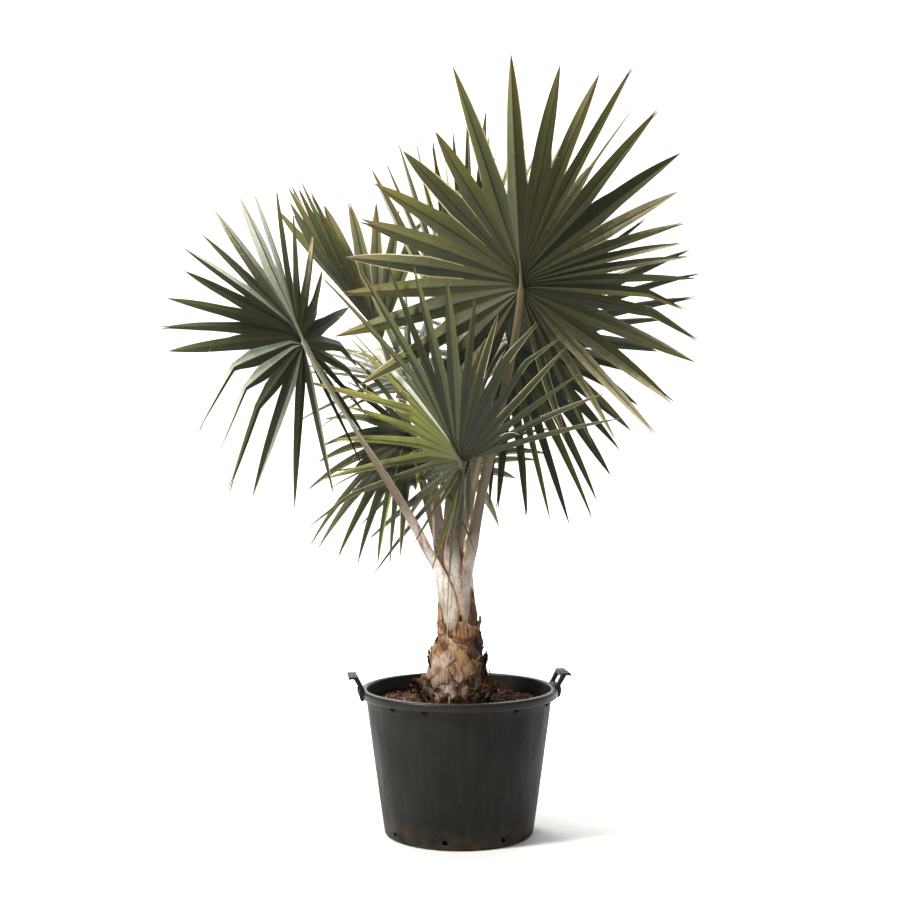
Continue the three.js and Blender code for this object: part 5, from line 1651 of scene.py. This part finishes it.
def rod_ring(frond, blade, curve, chord, out, spear, t):
    """A ring of the rod at t along its centre line, with the ring's side and its depth."""
    run = curve_run(curve, t)
    first, last = unit(np.cross(run, out)), unit(np.cross(run, blade["face"]))
    if first.dot(last) < 0:
        first = -first
    side = unit(mix(first, last, float(smoothstep(t, 0.45, 1))))
    deep = np.cross(side, run) * (1 if np.dot(np.cross(last, run), blade["face"]) < 0 else -1)
    distance = t * chord + (SPEAR_START if spear else 0)
    reached, wides, thicks = zip(*PETIOLE_STATIONS)
    wide, thick = float(np.interp(distance, reached, wides)), float(np.interp(distance, reached, thicks))
    wide *= 1 + STOUT.get(frond["name"], 0) * (1 - float(smoothstep(distance, 300, 900)))
    wide, thick = mix(wide, PETIOLE_TIP[0], t ** 3), mix(thick, PETIOLE_TIP[1], t ** 3)
    groove = GROOVE_DEPTH * float(smoothstep(t, 0.1, 0.35)) * (1 - 0.5 * float(smoothstep(t, 0.8, 1)))
    return rounded_ring(curve_at(curve, t), side, deep, wide, thick, groove), side, deep


def arc_ring(z, foot, heading, reach, reverse, swap, ragged):
    """A sheath's cross-section: a thin arc round the trunk, in the same order as the rod's."""
    inner = scale_radius(max(z, foot), foot, SHEATH_LEAN)
    outer = inner + SHEATH_THICK * (1 - 0.45 * max(0.0, z - foot) / SHEATH_HEIGHT)
    sweep = np.linspace(reach, -reach, RING_POINTS // 2) * (-1 if reverse else 1)
    sweep = np.where(sweep > 0, sweep * ragged[0], sweep * ragged[1])
    middle = trunk_middle(z)
    around = [(a, heading_vector(heading + a)) for a in sweep]
    outside = [middle + way * (outer - SHEATH_TUCK * abs(a / reach) ** 6) for a, way in around]
    inside = [middle + way * inner for _, way in around]
    first, second = (inside, outside) if swap else (outside, inside)
    return np.array(first + second[::-1])


print("stalk ring points:", RING_POINTS, "fronds:", len(FRONDS))

# %% [markdown]
# Each ring is placed by its height while it is still a sheath, and by its share of the way
# along the centre line once it is a rod. The sheath's edges are frayed by a seeded walk and
# wear the dry finish. Past the hub the stalk runs on as a thin rib under the fan.

# %% Build the stalks with their sheaths
SHEATH_RINGS, ROD_RINGS, FRAYING, DRY_UP_TO, STALK_SEED = 44, 46, 0.014, 0.95, 300
IN_ROD, IN_RIB, RIB_LENGTH, RIB_MARKS = 2.0, 3.0, 85, (0.15, 0.4, 0.7, 1.0)
SKIN, CHANNEL, DRY = range(3)


def stalk_finishes(marks):
    """The finish of every face: the channel inside, and dry edges while a ring is a sheath."""
    half = RING_POINTS // 2
    finish = np.full((len(marks) - 1, RING_POINTS), SKIN)
    finish[:, half + 2: RING_POINTS - 2] = CHANNEL
    for r, t in enumerate(marks[:-1]):
        if t < DRY_UP_TO:
            finish[r] = SKIN
            finish[r, [half - 2, half - 1, half, RING_POINTS - 2, RING_POINTS - 1, 0]] = DRY
    return finish


def build_stalk(number):
    frond, blade = FRONDS[number], blades[number]
    curve, chord, out, foot, spear = stalk_curve(frond, blade)
    shape = (frond, blade, curve, chord, out, spear)
    rng = np.random.default_rng(STALK_SEED + number)
    rings, marks, begin = [], [], 0.0
    if not spear:
        samples = np.linspace(0, 0.6, 240)
        heights = np.array([curve_at(curve, t)[2] for t in samples])
        _, side, deep = rod_ring(*shape, 0.02)
        reverse, swap = side.dot(np.cross(UP, out)) < 0, deep.dot(out) < 0
        ragged = 1 + np.cumsum(rng.normal(0, FRAYING, (SHEATH_RINGS, 2)), axis=0)
        for k, z in enumerate(np.linspace(foot - 3, foot + SHEATH_HEIGHT, SHEATH_RINGS)):
            t = (z - foot) / SHEATH_HEIGHT
            reach = frond["hug"] * float(read_list(SHEATH_WIDTHS, t))
            ring = arc_ring(z, foot, frond["foot"][0], reach, reverse, swap, ragged[k])
            if t > STALK_SHARE:
                begin = float(np.interp(z, heights, samples))
                ring = mix(ring, rod_ring(*shape, begin)[0], float(smoothstep(t, STALK_SHARE, 1.0)))
            rings.append(ring)
            marks.append(t)
    for t in np.linspace(begin, 1, ROD_RINGS)[0 if spear else 1:]:
        rings.append(rod_ring(*shape, t)[0])
        marks.append(IN_ROD)
    _, side, deep = rod_ring(*shape, 1.0)
    for s in RIB_MARKS:
        at = blade["hub"] + blade["rib"] * (RIB_LENGTH * s) - blade["face"] * mix(6.0, 3.0, s)
        rings.append(rounded_ring(at, side, deep, mix(12, 2, s), mix(7, 2, s), 0.0))
        marks.append(IN_RIB)
    maker = Maker()
    maker.grid(np.array(rings), finish=stalk_finishes(marks), wrap=True)
    maker.fan(rings[-1], finish=CHANNEL)
    maker.fan(rings[0], finish=DRY, flip=True)
    skins = STALK_SKINS.get(frond["name"], PLAIN_SKINS)
    make_piece(f"stalk_{frond['name']}", maker, skins, [f"petiole_{frond['name']}"])


for number in range(len(FRONDS)):
    build_stalk(number)

# %% [markdown]
# A living palm sheds. Some leaflets have dried and hang, and the fans drop pale threads where
# their leaflets split. Each is a narrow ribbon along a smooth curve through a few points,
# folded a little along its middle. The ones of one kind are joined in one piece.

# %% Ribbons that hang
HANGING_LEAFLETS = [
    ([(8, -238, 1120), (-30, -232, 1050), (-90, -224, 960), (-136, -220, 884)], (9, 14, 11, 7, 1),
     "olive", 1, 9),
    ([(8, -240, 1118), (-12, -236, 1020), (-50, -226, 905), (-84, -220, 804)], (8, 13, 11, 7, 1),
     "olive_yellow", 0, 9),
    ([(10, -242, 1118), (-8, -238, 1040), (-34, -226, 940), (-52, -220, 856)], (7, 11, 9, 5, 1),
     "sage", 1, 9),
    ([(12, -243, 1118), (0, -238, 1030), (-20, -214, 900), (-31, -180, 760), (-36, -150, 594)],
     (8, 11, 9, 7, 5, 1), "straw", 0, 8),
]
LONG_THREAD = [(-287, 100, 1486), (-290, 96, 1420), (-285, 94, 1350), (-288, 92, 1284)]
THREAD_CHANCE, THREAD_ROWS, THREAD_MARKS = 0.3, 9, (0, 0.35, 0.7, 1.0)
RIBBON_ROWS, RIBBON_FOLD, RIBBON_STEPS, THREAD_SEED = 26, 0.4, 7, 61


def smooth_path(points, rows):
    """A curve through the points, by blending each pair with its neighbours."""
    p = np.array(points, float)
    p = np.vstack([2 * p[0] - p[1], p, 2 * p[-1] - p[-2]])
    made = []
    for s in np.linspace(0, len(points) - 1 - 1e-6, rows):
        i, t = int(s), s - int(s)
        a, b, c, d = p[i:i + 4]
        bent = 2 * b + (c - a) * t + (2 * a - 5 * b + 4 * c - d) * t ** 2
        made.append(0.5 * (bent + (3 * b - a - 3 * c + d) * t ** 3))
    return np.array(made)


def add_ribbon(maker, points, widths, steps, facing, rows=RIBBON_ROWS):
    """A folded ribbon: widths from root to tip, and the finish of each row read from steps."""
    path = smooth_path(points, rows)
    run = np.gradient(path, axis=0)
    run /= np.linalg.norm(run, axis=1)[:, None]
    side = np.cross(run, facing)
    side /= np.linalg.norm(side, axis=1)[:, None]
    face = np.cross(side, run)
    wide = read_list(widths, np.linspace(0, 1, rows))[:, None] / 2
    columns = []
    for across, sunk in ((-1, 0), (-0.5, 0.6), (0, 1), (0.5, 0.6), (1, 0)):
        columns.append(path + side * wide * across - face * wide * RIBBON_FOLD * sunk)
    reached = [min(len(steps) - 1, int(i * len(steps) / (rows - 1))) for i in range(rows - 1)]
    finish = np.array([steps[i] for i in reached])
    maker.grid(np.stack(columns, 1), finish=np.repeat(finish[:, None], len(columns) - 1, 1))


def ramp_steps(ramp, first, last):
    return [RAMP_START[ramp] + int(round(v)) for v in np.linspace(first, last, RIBBON_STEPS)]


def build_hanging_leaflets():
    maker = Maker()
    for points, widths, ramp, first, last in HANGING_LEAFLETS:
        add_ribbon(maker, points, widths, ramp_steps(ramp, first, last), np.array([0.15, -1.0, 0.1]))
    make_piece("hanging_leaflets", maker, LEAF_FINISHES)


def build_threads():
    maker, rng, pale = Maker(), np.random.default_rng(THREAD_SEED), ramp_steps("silver", 6, 9)
    add_ribbon(maker, LONG_THREAD, (3.4, 3.0, 2.4, 0.8), pale, np.array([0, -1.0, 0]))
    for frond, blade, leaves in zip(FRONDS, blades, leaves_of):
        for i, before in enumerate(leaves[:-1]):
            if rng.uniform() > THREAD_CHANCE:
                continue
            _, split = boundary(frond, blade, leaves, i + 1)
            line, up, across = leaf_line(frond, blade, before["right"], frond["radius"], before["droop"])
            root = line([split * 0.985])[0]
            away = unit(line([split + 60])[0] - root)
            reach = rng.uniform(50, 150)
            bow = across * rng.uniform(-0.4, 0.4) + up * rng.uniform(-0.3, 0.3)
            sag = DOWN * 0.8 + bow
            points = [root + away * reach * s + sag * reach * s * s * 0.6 for s in THREAD_MARKS]
            add_ribbon(maker, points, (1.4, 1.2, 0.9, 0.3), pale, np.array([0.1, -1.0, 0.2]), THREAD_ROWS)
    make_piece("pale_threads", maker, LEAF_FINISHES)


build_hanging_leaflets()
build_threads()

# %% [markdown]
# Last, the view layer is updated. The box of everything that shows may differ from the box
# of the solids by only a little, because the plain solids stand for this palm wherever it is
# used without its looks.

# %% Update the scene
bpy.context.view_layer.update()
